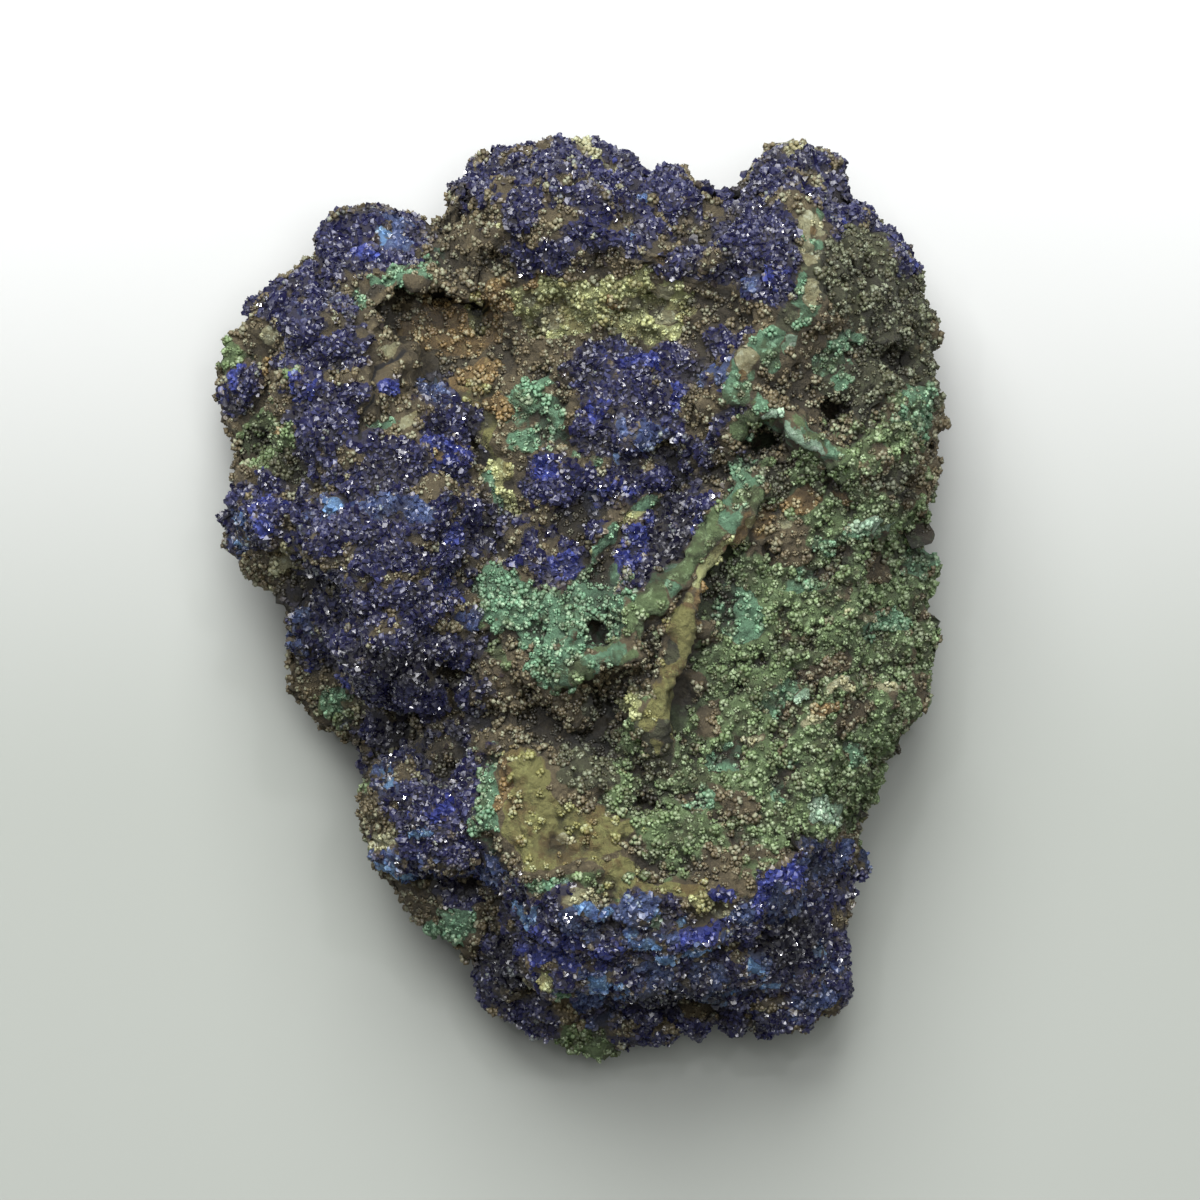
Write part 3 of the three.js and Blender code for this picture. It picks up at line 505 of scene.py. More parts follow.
# What grows where: each mineral's patches as middle, half length, half width and any turn, from the oldest
# growth to the youngest, so that a later patch lies over an earlier one
GROWTH = [
    ("green", [
        (24, 2, 14, 13), (20, -14, 14, 13), (8, -18, 7, 9), (30, 21, 6, 6), (-27, 22.8, 2.5, 1.5),
        (-34.5, 24.5, 2.4, 2.5), (-29.5, 15, 4, 3.6), (-9, -6.5, 2.8, 4.4), (-24, -11, 2.4, 2),
        (0, -28.8, 6.5, 1.6), (-20.4, -21.5, 1.6, 4.2), (-8, 1, 2.6, 2.6), (0, -44.5, 4, 2),
    ]),
    ("brown", [
        (-10.5, 26.5, 5.5, 4), (-12, 30, 7, 3), (-10.5, 37, 3.6, 4.8), (-9, 34, 4.5, 3),
        (29, 31.5, 5, 4.5), (27, 35, 4, 2.5, -30), (24.5, 28, 2.5, 3), (33, 27, 3, 4),
        (-19.5, 24, 3.2, 3.6), (-8.5, -8.5, 2.4, 3), (19.5, 5.5, 3, 3, 20), (12.5, -12, 1.5, 2.5),
        (11, -6, 0.9, 5.5, -8), (26.5, -12, 2, 1.5, 30), (-20, -22, 1.6, 3), (-26.5, -7.5, 2.6, 3),
        (-25.5, 5.5, 2.2, 3), (-33, 28, 2.6, 3), (-1, -11.5, 5.5, 2.6), (16.5, 28.5, 2.4, 2),
        (12, 29.5, 2.5, 2.5), (-16, 1.8, 3, 0.9), (-16, 11, 3, 1.2), (1, 28.5, 0.9, 3), (-31, 4, 1.5, 2.5),
        (-9, -41, 2, 2), (24, -7, 2.6, 1, 25), (15, -20, 2.6, 1.2, -20), (29, 3, 1.2, 2.4, 20),
        (-15, -31.5, 2.4, 2), (5, 33.6, 6, 1.4),
    ]),
    ("moss", [
        (29.5, 31.5, 6, 6), (30, 24, 4, 5), (25.5, 34, 3, 4, -20), (26, 21, 3, 3), (34, 22, 2, 4),
        (28, 18.5, 2, 1.5), (19, 11, 2.2, 1.2), (8, -13.5, 2, 1.8), (7, -16.5, 2, 1.5), (1, -16, 3, 3),
        (2, -11.2, 1.4, 1), (-28, 13, 2, 2), (31, 11, 3, 2), (14, -30, 2.4, 1.2),
    ]),
    ("rust", [(-12.5, 27, 4.5, 3.2), (-10.5, 22, 2, 1.6), (-8, 30, 2, 2)]),
    ("olive", [
        (-2.7, 28.6, 3.9, 3.6), (6, 28.4, 5.4, 3.8), (5, -10.8, 1.6, 1.2), (12.4, -30, 2, 1.1),
        (-8.5, 9.5, 1.8, 2.6), (6.4, 19.5, 1.5, 1.5), (-6, 37, 1.6, 1), (1.3, -33.4, 1.1, 0.9),
        (-2, -37.5, 3, 2.5), (-26.5, 6.5, 1.6, 2.6), (-8, 12.5, 1.6, 2),
    ]),
    ("ochre", [
        (-5.6, -18.2, 2.3, 3.6, -5), (0.8, -23.6, 4.8, 3), (-4, -23, 3, 3.6), (-10.2, 18.8, 2.8, 3),
        (-9, 14.8, 1.2, 2), (-10.5, 28.6, 0.9, 1.7), (7, -29, 5, 0.8), (3.5, -26.8, 3, 1),
    ]),
    ("teal", [
        (-4, -1.2, 5.2, 3.6), (2.4, 1.2, 3.6, 2.6), (-1.6, -6, 3.8, 3), (3, -3, 3, 2.2),
        (-7.5, -1, 3, 2.6), (-8.5, 1.5, 2.2, 2.2), (-4.4, 17.6, 3.1, 3.3), (-5, 20.4, 2.8, 0.7, 38),
        (0.4, 16, 0.6, 2.6, -38), (-17.5, 32.3, 3.9, 1.5, 30), (-21.2, 30.2, 2.4, 1.4, 20),
        (26.2, 25, 1.6, 2.2), (23.8, 23, 1, 1.2), (25.4, 21.2, 1.4, 1), (19, 26.4, 2.6, 0.8, 42),
        (18.2, 23, 1.3, 0.8), (27.5, 6, 1.8, 1), (24.5, 5, 2.4, 0.8, -20), (33.6, 3.5, 1.5, 1.4),
        (20, -19, 0.9, 3, -30), (27, -16, 1.2, 1), (-9.6, -20, 1.8, 5.2), (-12.5, -32, 2.3, 2.4),
        (-1, -38.5, 2.4, 1.6, 40), (-9.4, -25, 1.4, 1.2), (-18.5, 17, 2.6, 1, 20), (15.8, 12.5, 1.4, 1.6),
        (-3.5, -28.5, 3, 0.9), (-27.3, 22.8, 1.3, 1), (16, -2, 2, 3, 20), (22, 1.5, 2.4, 1.4, 20),
        (14, -16, 2, 1.4), (19, -10, 2.4, 1.6, 30), (-8.6, 9.5, 0.8, 2.4), (33, 18.5, 1.8, 2.4),
        (11, -20, 2.6, 1, 10), (30, -3, 2.6, 1, 15), (-24.2, -10.5, 1.6, 1.2), (1, 13.6, 1.4, 1.1),
    ]),
    ("navy", [
        (-5.5, 42, 7.5, 3.4), (2, 39.5, 9, 6.5), (8, 37.5, 8, 5), (15, 36, 7, 5.6), (-3, 35, 4.2, 3.2),
        (12, 34, 8, 2.6), (20.8, 41, 5, 5.6), (19, 35, 3, 5.5), (19.4, 31.5, 1.8, 4, -10),
        (26, 39, 3, 2.6), (31.6, 34.6, 1.8, 3, 30), (14.2, 25.4, 3, 2, 20), (-20, 36, 5, 3.6),
        (-23.5, 35, 2.4, 4), (-26.5, 28.5, 4.6, 4), (-25.2, 24.5, 4.4, 3.4), (-24.5, 18.5, 3.6, 4),
        (-20.5, 12.5, 6.5, 3.6), (-13, 18.5, 2.6, 4.4, 20), (-14, 13, 4.5, 3.6), (-20, 6, 8.5, 6.5),
        (-20, 0, 8.5, 6.5), (-17, -6, 8.5, 5.5, -20), (-31.5, 8.5, 3.4, 3.4), (-33.5, 21, 1.8, 2.4),
        (-31, 31, 1.8, 3.2, -30), (-12, 8, 3, 4.5), (-13.5, 2, 2.6, 4.5), (-14, -11.5, 4.6, 5.5),
        (-18, -14.5, 4, 4.5), (-13, -17, 2.6, 6), (-15, -21, 4.2, 4), (-13, -25, 4.4, 3),
        (3, 21.5, 4.8, 3.6), (9, 22.8, 3.6, 2.4), (5, 17, 6.2, 4.2), (7, 12.5, 6, 4.2), (-2, 11, 3.6, 4.2),
        (-2.5, 6, 6, 3), (-8.5, 5.2, 2.8, 2), (14.6, 18, 1.8, 3.6), (8.4, 5.5, 3.2, 6.4, -20),
        (11.8, 8.4, 2.4, 2.2, 48), (-6, -33, 2.4, 6, 10), (-8.4, -37.5, 2.4, 4.4), (-4.4, -42, 2.6, 2.6),
        (3, -36, 6.5, 5.4), (10, -38.5, 7, 5.5), (20.5, -33.5, 6, 5.5), (22, -38.5, 5.5, 5),
        (15, -41, 8, 3.2), (8, -43, 5.6, 2.6), (-2, -33, 3.8, 4), (25, -28, 2.4, 3), (6, -32.5, 5, 2.6),
        (18.6, -32, 3, 3.4), (-12, -29, 4, 2, -20),
    ]),
    ("brown", [
        (4, 37, 1.6, 0.8, 40), (-2.5, 37.8, 1.2, 2, -20), (20.5, 38.6, 2.2, 0.9, -20), (8, 34.6, 1.4, 0.7),
        (22.5, 41.5, 1.6, 1, -30), (13, 38.8, 1.2, 0.6), (9.5, 36.4, 1.6, 0.9, 20),
        (-22.5, 13.5, 2, 0.8, 20), (-17.5, 16.5, 2, 0.7), (-14, 10.5, 2.4, 0.9, 20),
        (-16.5, 2.3, 2.2, 0.7, 10), (-13, -7.6, 2, 0.8), (0, 5.6, 1.4, 0.8), (-3.8, 2.6, 0.8, 0.6),
        (8.5, 15.5, 2, 1.2), (12, 18.5, 1.6, 2.2, 20), (-23.5, 21.2, 1.4, 0.8), (-24.5, 26, 2, 0.8, 30),
        (3.5, -41, 2, 1), (11, -41.5, 2, 1), (-12.5, -10, 0.8, 1.4), (-16.8, -13, 1, 1.6, 30),
        (-0.5, 41, 1.4, 0.7), (6.2, -38.6, 1.4, 0.8, 20),
    ]),
    ("slate", [
        (23.5, -26.4, 4.2, 1.9, 12), (20.5, -29.4, 2, 1, -40), (1.6, -40.4, 2.6, 2.6), (6, 16.5, 2.2, 1.6),
        (-14.6, 20.4, 1.5, 2.4, 20), (-24.4, 8.8, 2, 1.8), (-10.6, -2.3, 1.1, 1.4), (-33.2, 7, 1.3, 2.4),
        (17.5, 30, 2.4, 1.4), (-18, 8.8, 5, 1.1), (-19.6, 36, 2.6, 2.4), (-24.5, 29, 1, 1.4),
        (-27.3, -3, 1, 2.6), (4, -31.2, 5.6, 1.3), (15, 22.6, 1.8, 1.2, 30), (-9, -27.2, 2.6, 1.2, -40),
        (9, -36.4, 3, 1.2), (-16.6, -26.4, 3.4, 1.2, -20), (-18.4, -18.6, 1.8, 1.6, 30),
        (2, -36.5, 2.2, 1.3), (12, 22, 1.6, 1.2), (1, 9.4, 1.4, 1.2), (22.5, -38, 3.4, 1.2, 10),
        (18, -36.8, 1.4, 2, 30), (8, -36, 5, 2.4), (14, -38.6, 4, 2), (3, -38.6, 4, 1.8),
        (0, -34.5, 6, 3.6), (21, -29, 4, 2.4, 30), (23, -40.5, 3, 1.6),
    ]),
    ("cobalt", [
        (-27.6, 20.8, 2.3, 1.1, 10), (-19, 21, 1.3, 0.8), (-13.8, 14.2, 2.2, 1.4), (-12.4, 0.4, 0.8, 1.6),
        (-2.4, 2.8, 2.8, 1.7), (5.4, 5.4, 1.5, 3.6, -12), (12.6, 7.2, 1.4, 2.6, -40),
        (5.8, 23.3, 4.3, 1.1, -5), (-22.4, -9.2, 1.6, 0.7, -35), (-34, 21.6, 1, 1.6), (-31, 8.6, 2.2, 1.5),
        (-14.4, -21.5, 1.7, 1.1), (-8.8, -28.4, 1.6, 0.8, -40), (-3, -34.4, 3.4, 2.8), (3, -35.4, 2, 1.4),
        (6, -35.2, 1.3, 1), (-21.5, 34.5, 1.4, 1), (14.6, 20.6, 1.4, 0.8), (-12.2, 6.5, 0.9, 1.6),
        (4, 11, 2.6, 1.4, 35), (-3.4, 12.4, 1.7, 1.3), (25, 36.3, 0.8, 0.8), (30.5, 35, 0.8, 0.6),
        (32.7, 33, 0.7, 0.7), (19.4, 31, 0.7, 1.4), (3, 43.4, 1.4, 0.8, -40), (-6, 4, 1.2, 1),
        (1.6, 18.6, 1.2, 1), (9.6, 20.6, 0.9, 1.6), (-0.8, -35.6, 1.8, 1), (13.8, -29.4, 1.2, 0.7),
        (-26.8, -6, 1.2, 0.6, -40), (-15.6, -16.6, 1, 0.7),
    ]),
    ("pale", [
        (7.6, -33, 3, 2.2), (12, -33.6, 3, 0.9, 20), (5.8, -33.6, 1, 1.2), (17.4, -37.4, 0.8, 1.8, 40),
        (19.8, -38.9, 1.7, 0.6), (22.2, -38.2, 1, 0.5, 20), (-4.4, -31, 1.7, 1),
        (-18.4, -18.3, 1, 0.8, 30), (-17.8, -27, 2, 0.8, -20), (-33, 7, 0.8, 1.6), (-27, 27.7, 1.1, 0.8),
        (0.6, -30.6, 1.4, 0.6), (-20.4, 36.4, 1.1, 1.2), (6, 39.8, 0.6, 0.4), (-24, 8.8, 1, 0.9),
        (3.4, 14, 0.5, 1.2), (10.6, 23.6, 0.8, 0.7), (-15.5, -23.4, 1.2, 0.5), (4.8, 35.5, 0.5, 0.5),
        (-14.6, 21.4, 0.5, 1, 20), (2.4, -30.8, 1, 0.5), (9, -35.2, 3.4, 1.3), (13, -39.6, 2.4, 1.1),
        (3, -38.4, 2.4, 1.1), (23, -34.6, 1.6, 0.9, 30),
    ]),
]
# The youngest stains and crusts, which lie over the crests too
ACCENTS = [
    ("cream", [
        (22.3, 36.5, 1.3, 1.2), (22, 33.5, 0.9, 1.2), (22.4, 29.8, 0.8, 1.5), (16, 23, 1, 1.1),
        (-29, 3.6, 0.8, 2.3, -20), (-18.9, 24.3, 1.1, 0.5), (-5, 29.5, 0.6, 0.5), (-22, -11, 1.3, 0.6),
        (8, 30.4, 1.4, 0.5), (4.5, 29, 1.6, 1), (8, 28, 1.4, 0.9), (-3, 27.6, 1.2, 0.9),
        (-1.3, -23.8, 0.8, 0.5), (-31, 26, 1.2, 0.9), (1.6, 44.4, 2.8, 0.6, -25), (21.5, 45.4, 2.2, 0.6),
        (22.5, -12.2, 1.1, 0.5, 30), (27, -2, 1.6, 0.4, -20), (20, 7.2, 0.8, 0.6), (13.6, -31.2, 0.8, 0.7),
        (0.4, -29.6, 2, 0.5), (-18.8, -23.8, 1.8, 0.5, 40), (25.5, -8.6, 1.4, 0.5, 35),
        (17, -14, 1.2, 0.5, 20), (30.4, -9, 1, 0.5, -20), (-16.8, 17.4, 1.2, 0.5, 20),
    ]),
    ("white", [
        (18.2, 18, 1.4, 0.7, 20), (20.7, 16.2, 1.5, 0.6, -30), (23.3, 14.6, 1.5, 0.7, -32),
        (24.3, -21.2, 1.5, 1.4), (28.3, 6.6, 2.3, 0.7, 8), (20, 25, 1.3, 0.5, 42), (7.3, -32.2, 0.7, 0.8),
        (21.6, -9.8, 0.9, 0.5, 30),
    ]),
    ("rust", [
        (-31.5, 23, 0.4, 1.2, 20), (-14, 13.8, 0.5, 0.4), (-4.8, 31, 0.5, 0.4), (7.6, 33.2, 0.8, 0.5),
        (22, 9.4, 2, 1.1), (17.8, 7.4, 1.1, 1.7), (11.6, -1.6, 0.5, 1.6, -5), (-8.4, 18.8, 1.3, 1.4),
        (26, 9.4, 1.2, 0.6), (-7, -18.5, 0.7, 2.6, -5), (24, -11, 1.4, 0.5, 20), (22.6, 36, 0.5, 0.4),
        (3.4, 29, 0.6, 0.9, 20), (-30, 16.2, 0.6, 0.4), (15.8, 21.9, 0.5, 0.6), (-18.8, 23.4, 0.6, 0.4),
    ]),
]
MINERALS = [
    "brown", "moss", "green", "olive", "ochre", "teal",
    "navy", "slate", "cobalt", "pale", "cream", "white", "rust",
]

x, y, z = rock.T.copy()
wander = np.stack([roughness(x, y, z, 3, 3, seed) for seed in (81, 91)])
ragged = 0.3 * roughness(x, y, z, 1.8, 2, 101)
share = {name: np.zeros(len(rock)) for name in MINERALS}
share["brown"][:] = 1


def cover_with(name, cover):
    """Lays one mineral over what is there."""
    for other in MINERALS:
        share[other] *= 1 - cover
    share[name] += cover


def paint(growth):
    """Lays ragged patches over each other."""
    for name, patches in growth:
        for patch in patches:
            drift = min(0.8, 0.4 * max(patch[2:4]))
            far = from_ellipse(x + drift * wander[0], y + drift * wander[1], *patch)
            cover_with(name, smooth(1.2, 0.8, far + ragged))


paint(GROWTH)

# The thin crests are each made of their own minerals, in turns along them
CREST_GROWTH = {
    "thin septum": ("rust", "olive"),
    "olive blade": ("ochre", "moss"),
    "teal crest": ("teal", "green"),
    "cream crest": ("moss", "teal"),
    "white crest": ("teal", "green"),
    "pocket blade": ("olive", "teal"),
    "pale band": ("slate", "cobalt"),
}
on_crest = np.zeros(len(rock))
turns = smooth(-0.2, 0.2, roughness(x, y, z, 2.5, 2, 231))
for crest, (first, second) in CREST_GROWTH.items():
    half, _, line = CRESTS[crest]
    far = from_line(x + 0.35 * wander[0], y + 0.35 * wander[1], line)
    cover = smooth(half + 0.55, half - 0.1, far)
    on_crest = np.maximum(on_crest, cover)
    cover_with(first, cover)
    share[second] += cover * turns * share[first]
    share[first] *= 1 - cover * turns
paint(ACCENTS)

# Under the widest section the growth thins out to bare rock with stains and a few patches of druse
under = smooth(-0.5, -5, z - from_net(net_rim, x, y))
back_green = smooth(0.05, 0.45, roughness(x, y, z, 9, 3, 111))
back_navy = smooth(0.25, 0.6, roughness(x, y, z, 11, 3, 121))
back_ochre = smooth(0.3, 0.6, roughness(x, y, z, 7, 3, 131))
for name in MINERALS:
    share[name] *= 1 - under
share["brown"] += under * (1 - back_green) * (1 - back_navy) * (1 - back_ochre)
share["green"] += under * back_green * (1 - back_navy)
share["navy"] += under * back_navy
share["ochre"] += under * back_ochre * (1 - back_green) * (1 - back_navy)

# Brown earth shows through in specks between the blue and the green, and all borders are broken up
hollows = smooth(0.1, 0.6, roughness(x, y, z, 2.2, 2, 191))
speck = roughness(x, y, z, 1.7, 3, 211)
bald = 0.85 * smooth(0.15, 0.45, speck) * smooth(-0.7, 0.3, roughness(x, y, z, 9, 2, 221))
earthy_share = {"navy": bald, "green": 0.5 * hollows, "teal": 0.5 * hollows, "olive": 0.2 * hollows}
for name, most in earthy_share.items():
    share["brown"] += most * share[name]
    share[name] *= 1 - most

blotches = smooth(-0.2, 0.2, roughness(x, y, z, 1.7, 2, 241))
for name in ("slate", "cobalt", "pale"):
    lost = 0.7 * (1 - blotches) * (1 - on_crest)
    share["navy"] += lost * share[name]
    share[name] *= 1 - lost

# A crack in the slab's top, a groove beside the septum, and the places where the rock's skin is bare and even
CRACK = [(-17.5, 23.9), (-19.8, 22.9), (-20.2, 19.9), (-21.2, 16.9), (-21.4, 15.5)]
CRACK_WIDTH = 0.4
CRACK_DEPTH = 0.5
GROOVE = [(14.8, 4.4), (12.6, 1.2), (11.7, -2.5), (11.0, -6), (10.0, -9.5), (9.6, -12.5)]
GROOVE_WIDTH = 0.7
GROOVE_DEPTH = 1.5
from_crack = from_line(x, y, CRACK)
cracked = np.exp(-((from_crack / CRACK_WIDTH) ** 2)) * (1 - under)
from_groove = from_line(x, y, GROOVE)
grooved = np.exp(-((from_groove / GROOVE_WIDTH) ** 2))
BARE_PLACE = (-19, 23.8, 3, 3.4, 30)
far = from_ellipse(x + 0.6 * wander[0], y + 0.6 * wander[1], *BARE_PLACE)
bare = np.maximum.reduce([
    0.8 * smooth(1.15, 0.85, far), 0.7 * on_crest, cracked, grooved, 0.4 * share["ochre"],
])

# The fine relief of each mineral stands out along the surface
NORMAL_ROUNDS = 4
normal = point_normals(rock)
for _ in range(NORMAL_ROUNDS):
    normal = neighbour_mean(normal)
normal /= np.linalg.norm(normal, axis=1, keepdims=True)

LUMP_HEIGHT = 0.7
even = 1 - 0.45 * on_crest
big_nodules = 0.55 - nodules(x, y, z, 3.6, 51)
azurite_nodules = 0.5 - nodules(x, y, z, 2.7, 141) ** 1.5
azurite_buds = 0.5 - nodules(x, y, z, 1.1, 151)
popcorn = 0.5 - nodules(x, y, z, 1.6, 161)
grains = 0.5 - nodules(x, y, z, 0.85, 171)
crags = roughness(x, y, z, 4, 4, 181)
along, across = 0.94 * x + 0.34 * y, 0.94 * y - 0.34 * x
ledges = roughness(along / 3, across, z / 2, 2.2, 2, 201) * smooth(18, 24, x) * smooth(-16, -8, y)
blue = share["navy"] + 0.8 * share["cobalt"] + 0.8 * share["slate"] + 0.7 * share["pale"]
granular = share["green"] + 0.7 * share["moss"] + 0.9 * share["olive"] + 0.35 * share["teal"]
relief = (
    LUMP_HEIGHT * roughness(x, y, z, 6, 2, 41)
    + (0.4 + 0.8 * blue) * big_nodules
    + blue * (2.0 * azurite_nodules + 0.5 * azurite_buds)
    + granular * (1.2 * popcorn + 0.5 * grains - 1.9 * hollows + 0.7 * ledges)
    + share["teal"] * (0.7 * popcorn + 0.25 * grains + 0.3 * crags - 0.6 * hollows)
    + share["brown"] * (0.8 * crags + 0.5 * popcorn + 0.5 * grains - 0.6 * hollows)
    + (share["ochre"] + share["cream"] + share["rust"]) * (0.5 * crags + 0.9 * grains - 0.8 * hollows)
    + on_crest * (0.5 * crags + 0.6 * grains)
    - CRACK_DEPTH * cracked
    - GROOVE_DEPTH * grooved
)
rock += (even * relief)[:, None] * normal
rock[:, 2] = np.maximum(rock[:, 2], 0)
over_table = smooth(0.9, 1.8, rock[:, 2])  # nothing grows where it rests

# How far each place stands out from or lies back in its surroundings, in millimetres, and the painted shade
# of the hollows. The narrowest pockets get the full painted shade, which makes their crystals nearly black.
POCKETS = [
    (8.6, 6.2, 1.8, 5.8, -16), (-17, -6.8, 6.5, 1.8, -14), (-18, -13.2, 2.2, 2.6),
    (-12, -29, 3.4, 1.4, -10), (20.5, -34, 3.6, 3), (10, -40, 5, 2.2), (-7, -37, 2, 3.6),
]
NEAR_ROUNDS = 40  # evens out the lumps
FAR_ROUNDS = 220  # and then the hollows
calm = rock.copy()
for _ in range(NEAR_ROUNDS):
    calm = neighbour_mean(calm)
stands_out = np.einsum("ij,ij->i", rock - calm, normal)
for _ in range(FAR_ROUNDS):
    calm = neighbour_mean(calm)
deep = smooth(0.3, 3.5, np.einsum("ij,ij->i", calm - rock, normal))
# Less painted shade in the hollows of the olive, the brown and the rust
deep *= 1 - 0.8 * share["olive"] - 0.6 * share["brown"] - 0.8 * share["rust"]
for pocket in POCKETS:
    far = from_ellipse(x + 0.5 * wander[0], y + 0.5 * wander[1], *pocket)
    deep = np.maximum(deep, smooth(1.2, 0.7, far))

low, high = (np.array(corner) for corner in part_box("azurite_specimen"))
rock *= MM
rock[:, :2] = low[:2] + (rock[:, :2] - rock[:, :2].min(0)) * (high - low)[:2] / np.ptp(rock[:, :2], axis=0)

rock_mesh = bpy.data.meshes.new("rock")
rock_mesh.vertices.add(len(rock))
rock_mesh.vertices.foreach_set("co", rock.reshape(-1))
rock_mesh.loops.add(len(edge_from))
rock_mesh.loops.foreach_set("vertex_index", edge_from)
rock_mesh.polygons.add(len(triangles))
rock_mesh.polygons.foreach_set("loop_start", np.arange(len(triangles)) * 3)
rock_mesh.update(calc_edges=True)
rock_mesh.shade_smooth()


def store(name, values):
    """Keeps a value at each point of the rock under a name, for its material and for what grows on it."""
    rock_mesh.attributes.new(name, "FLOAT", "POINT").data.foreach_set("value", values.astype(np.float32))


for name in MINERALS[1:]:
    store(name, share[name])
store("stands_out", stands_out)
store("deep", deep)
store("clean", share["olive"] + 0.7 * share["rust"])
store("from_crack", from_crack * (1 - under) + 9 * under)


def put(tree, kind, inputs=None, **settings):
    """Adds a node with its settings, and sets or links its inputs by name or number."""
    made = tree.nodes.new(kind)
    for name, value in settings.items():
        setattr(made, name, value)
    for name, value in (inputs or {}).items():
        if isinstance(value, bpy.types.NodeSocket):
            tree.links.new(value, made.inputs[name])
        else:
            made.inputs[name].default_value = value
    return made


def maths(tree, operation, a, b=0.0, c=0.0):
    """One step of arithmetic."""
    return put(tree, "ShaderNodeMath", {0: a, 1: b, 2: c}, operation=operation).outputs[0]


def mix(tree, factor, a, b):
    """Two colours mixed by a factor, which is 0 for the first."""
    return put(tree, "ShaderNodeMix", {0: factor, 6: a, 7: b}, data_type="RGBA").outputs[2]


def mask(tree, name):
    """A value that is kept at each point of a mesh."""
    return put(tree, "ShaderNodeAttribute", attribute_name=name).outputs["Fac"]


def toward(tree, factor, most, a, b):
    """Two colours mixed by a factor, and by no more than the most."""
    return mix(tree, maths(tree, "MULTIPLY", factor, most), a, b)


def own_place(tree):
    """Each place's coordinates on the piece itself, in metres."""
    return put(tree, "ShaderNodeTexCoord").outputs["Object"]


def texture(tree, at, waves, detail, harshness=0.5):
    """Noise of about so many waves to a metre."""
    inputs = {"Vector": at, "Scale": waves, "Detail": detail, "Roughness": harshness}
    return put(tree, "ShaderNodeTexNoise", inputs).outputs[0]


def band(tree, value, start, end):
    """0 at start, 1 at end and an eased rise between them."""
    return put(
        tree, "ShaderNodeMapRange", {0: value, 1: start, 2: end}, interpolation_type="SMOOTHSTEP", clamp=True
    ).outputs[0]


def shade(red, green, blue):
    """A colour as it looks on a screen, from 0 to 255, turned into light."""
    def light(part):
        part /= 255
        return part / 12.92 if part <= 0.04045 else ((part + 0.055) / 1.055) ** 2.4
    return (light(red), light(green), light(blue), 1.0)


def new_finish(name):
    """A new material, with its nodes and its shader."""
    finish = bpy.data.materials.new(name)
    finish.use_nodes = True
    return finish, finish.node_tree, finish.node_tree.nodes["Principled BSDF"]


def add_object(name, data):
    """A new object in the scene."""
    made = bpy.data.objects.new(name, data)
    bpy.context.scene.collection.objects.link(made)
    return made


# Colours of each mineral: its main one, its dark one and its light one
TONES = {
    "brown": (shade(98, 87, 62), shade(76, 66, 44), shade(122, 111, 82)),
    "moss": (shade(70, 71, 47), shade(50, 49, 33), shade(100, 107, 76)),
    "green": (shade(98, 119, 75), shade(70, 79, 46), shade(143, 168, 120)),
    "olive": (shade(172, 176, 120), shade(134, 128, 80), shade(202, 210, 160)),
    "ochre": (shade(128, 126, 72), shade(108, 92, 50), shade(150, 152, 92)),
    "teal": (shade(97, 137, 106), shade(74, 94, 62), shade(144, 188, 152)),
    "navy": (shade(38, 39, 80), shade(25, 24, 48), shade(66, 71, 112)),
    "slate": (shade(66, 82, 126), shade(45, 52, 84), shade(102, 122, 162)),
    "cobalt": (shade(46, 56, 132), shade(30, 34, 84), shade(76, 92, 176)),
    "pale": (shade(110, 152, 200), shade(74, 100, 152), shade(164, 204, 230)),
    "cream": (shade(160, 158, 122), shade(126, 118, 82), shade(194, 198, 168)),
    "white": (shade(150, 180, 154), shade(108, 138, 108), shade(210, 228, 210)),
    "rust": (shade(132, 108, 66), shade(104, 84, 50), shade(156, 136, 88)),
}

# The minerals' colours as one group, for the rock and for what grows on it
colours = bpy.data.node_groups.new("mineral colours", "ShaderNodeTree")
colours.interface.new_socket("Colour", in_out="OUTPUT", socket_type="NodeSocketColor")
colours.interface.new_socket("Blue", in_out="OUTPUT", socket_type="NodeSocketFloat")
place = own_place(colours)
broad = texture(colours, place, 320.0, 4.0, 0.6)
fine = texture(colours, place, 1100.0, 4.0, 0.7)
broken = texture(colours, place, 700.0, 5.0, 0.65)
dark_band = band(colours, broad, 0.55, 0.38)
light_band = band(colours, fine, 0.52, 0.68)
raggedness = maths(colours, "MULTIPLY_ADD", broken, 1.6, -0.8)


def tone(name):
    """A mineral's colour, darker in broad patches and lighter in fine ones."""
    main, dark, light = TONES[name]
    return mix(colours, light_band, mix(colours, dark_band, main, dark), light)


colour = tone("brown")
blue_total = 0.0
for name in MINERALS[1:]:
    amount = mask(colours, name)
    edge = band(colours, maths(colours, "ADD", amount, raggedness), 0.36, 0.64)
    colour = mix(colours, edge, colour, tone(name))
    if name in ("navy", "slate", "cobalt", "pale"):
        blue_total = maths(colours, "ADD", amount, blue_total)
put(colours, "NodeGroupOutput", {"Colour": colour, "Blue": blue_total})

rock_finish, tree, shader = new_finish("rock with its minerals")
mineral = put(tree, "ShaderNodeGroup", node_tree=colours)
standing = mask(tree, "stands_out")
navy = mask(tree, "navy")
dusty = toward(tree, navy, 0.6, mineral.outputs["Colour"], shade(50, 44, 42))
# Painted shade: places that lie back from their surroundings are darkened towards near-black brown, less on
# the olive and the rust
clean = mask(tree, "clean")
low_shade = maths(tree, "MULTIPLY", band(tree, standing, 0.2, -0.9), maths(tree, "MULTIPLY_ADD", clean, -0.6, 0.7))
low_shaded = mix(tree, low_shade, dusty, shade(34, 30, 20))
# Painted shade in the hollows and pockets, stronger on the blue minerals
depth = mask(tree, "deep")
hollow_shade_share = maths(tree, "MULTIPLY_ADD", mineral.outputs["Blue"], 0.4, 0.35)
dark = toward(tree, depth, hollow_shade_share, low_shaded, shade(22, 19, 20))
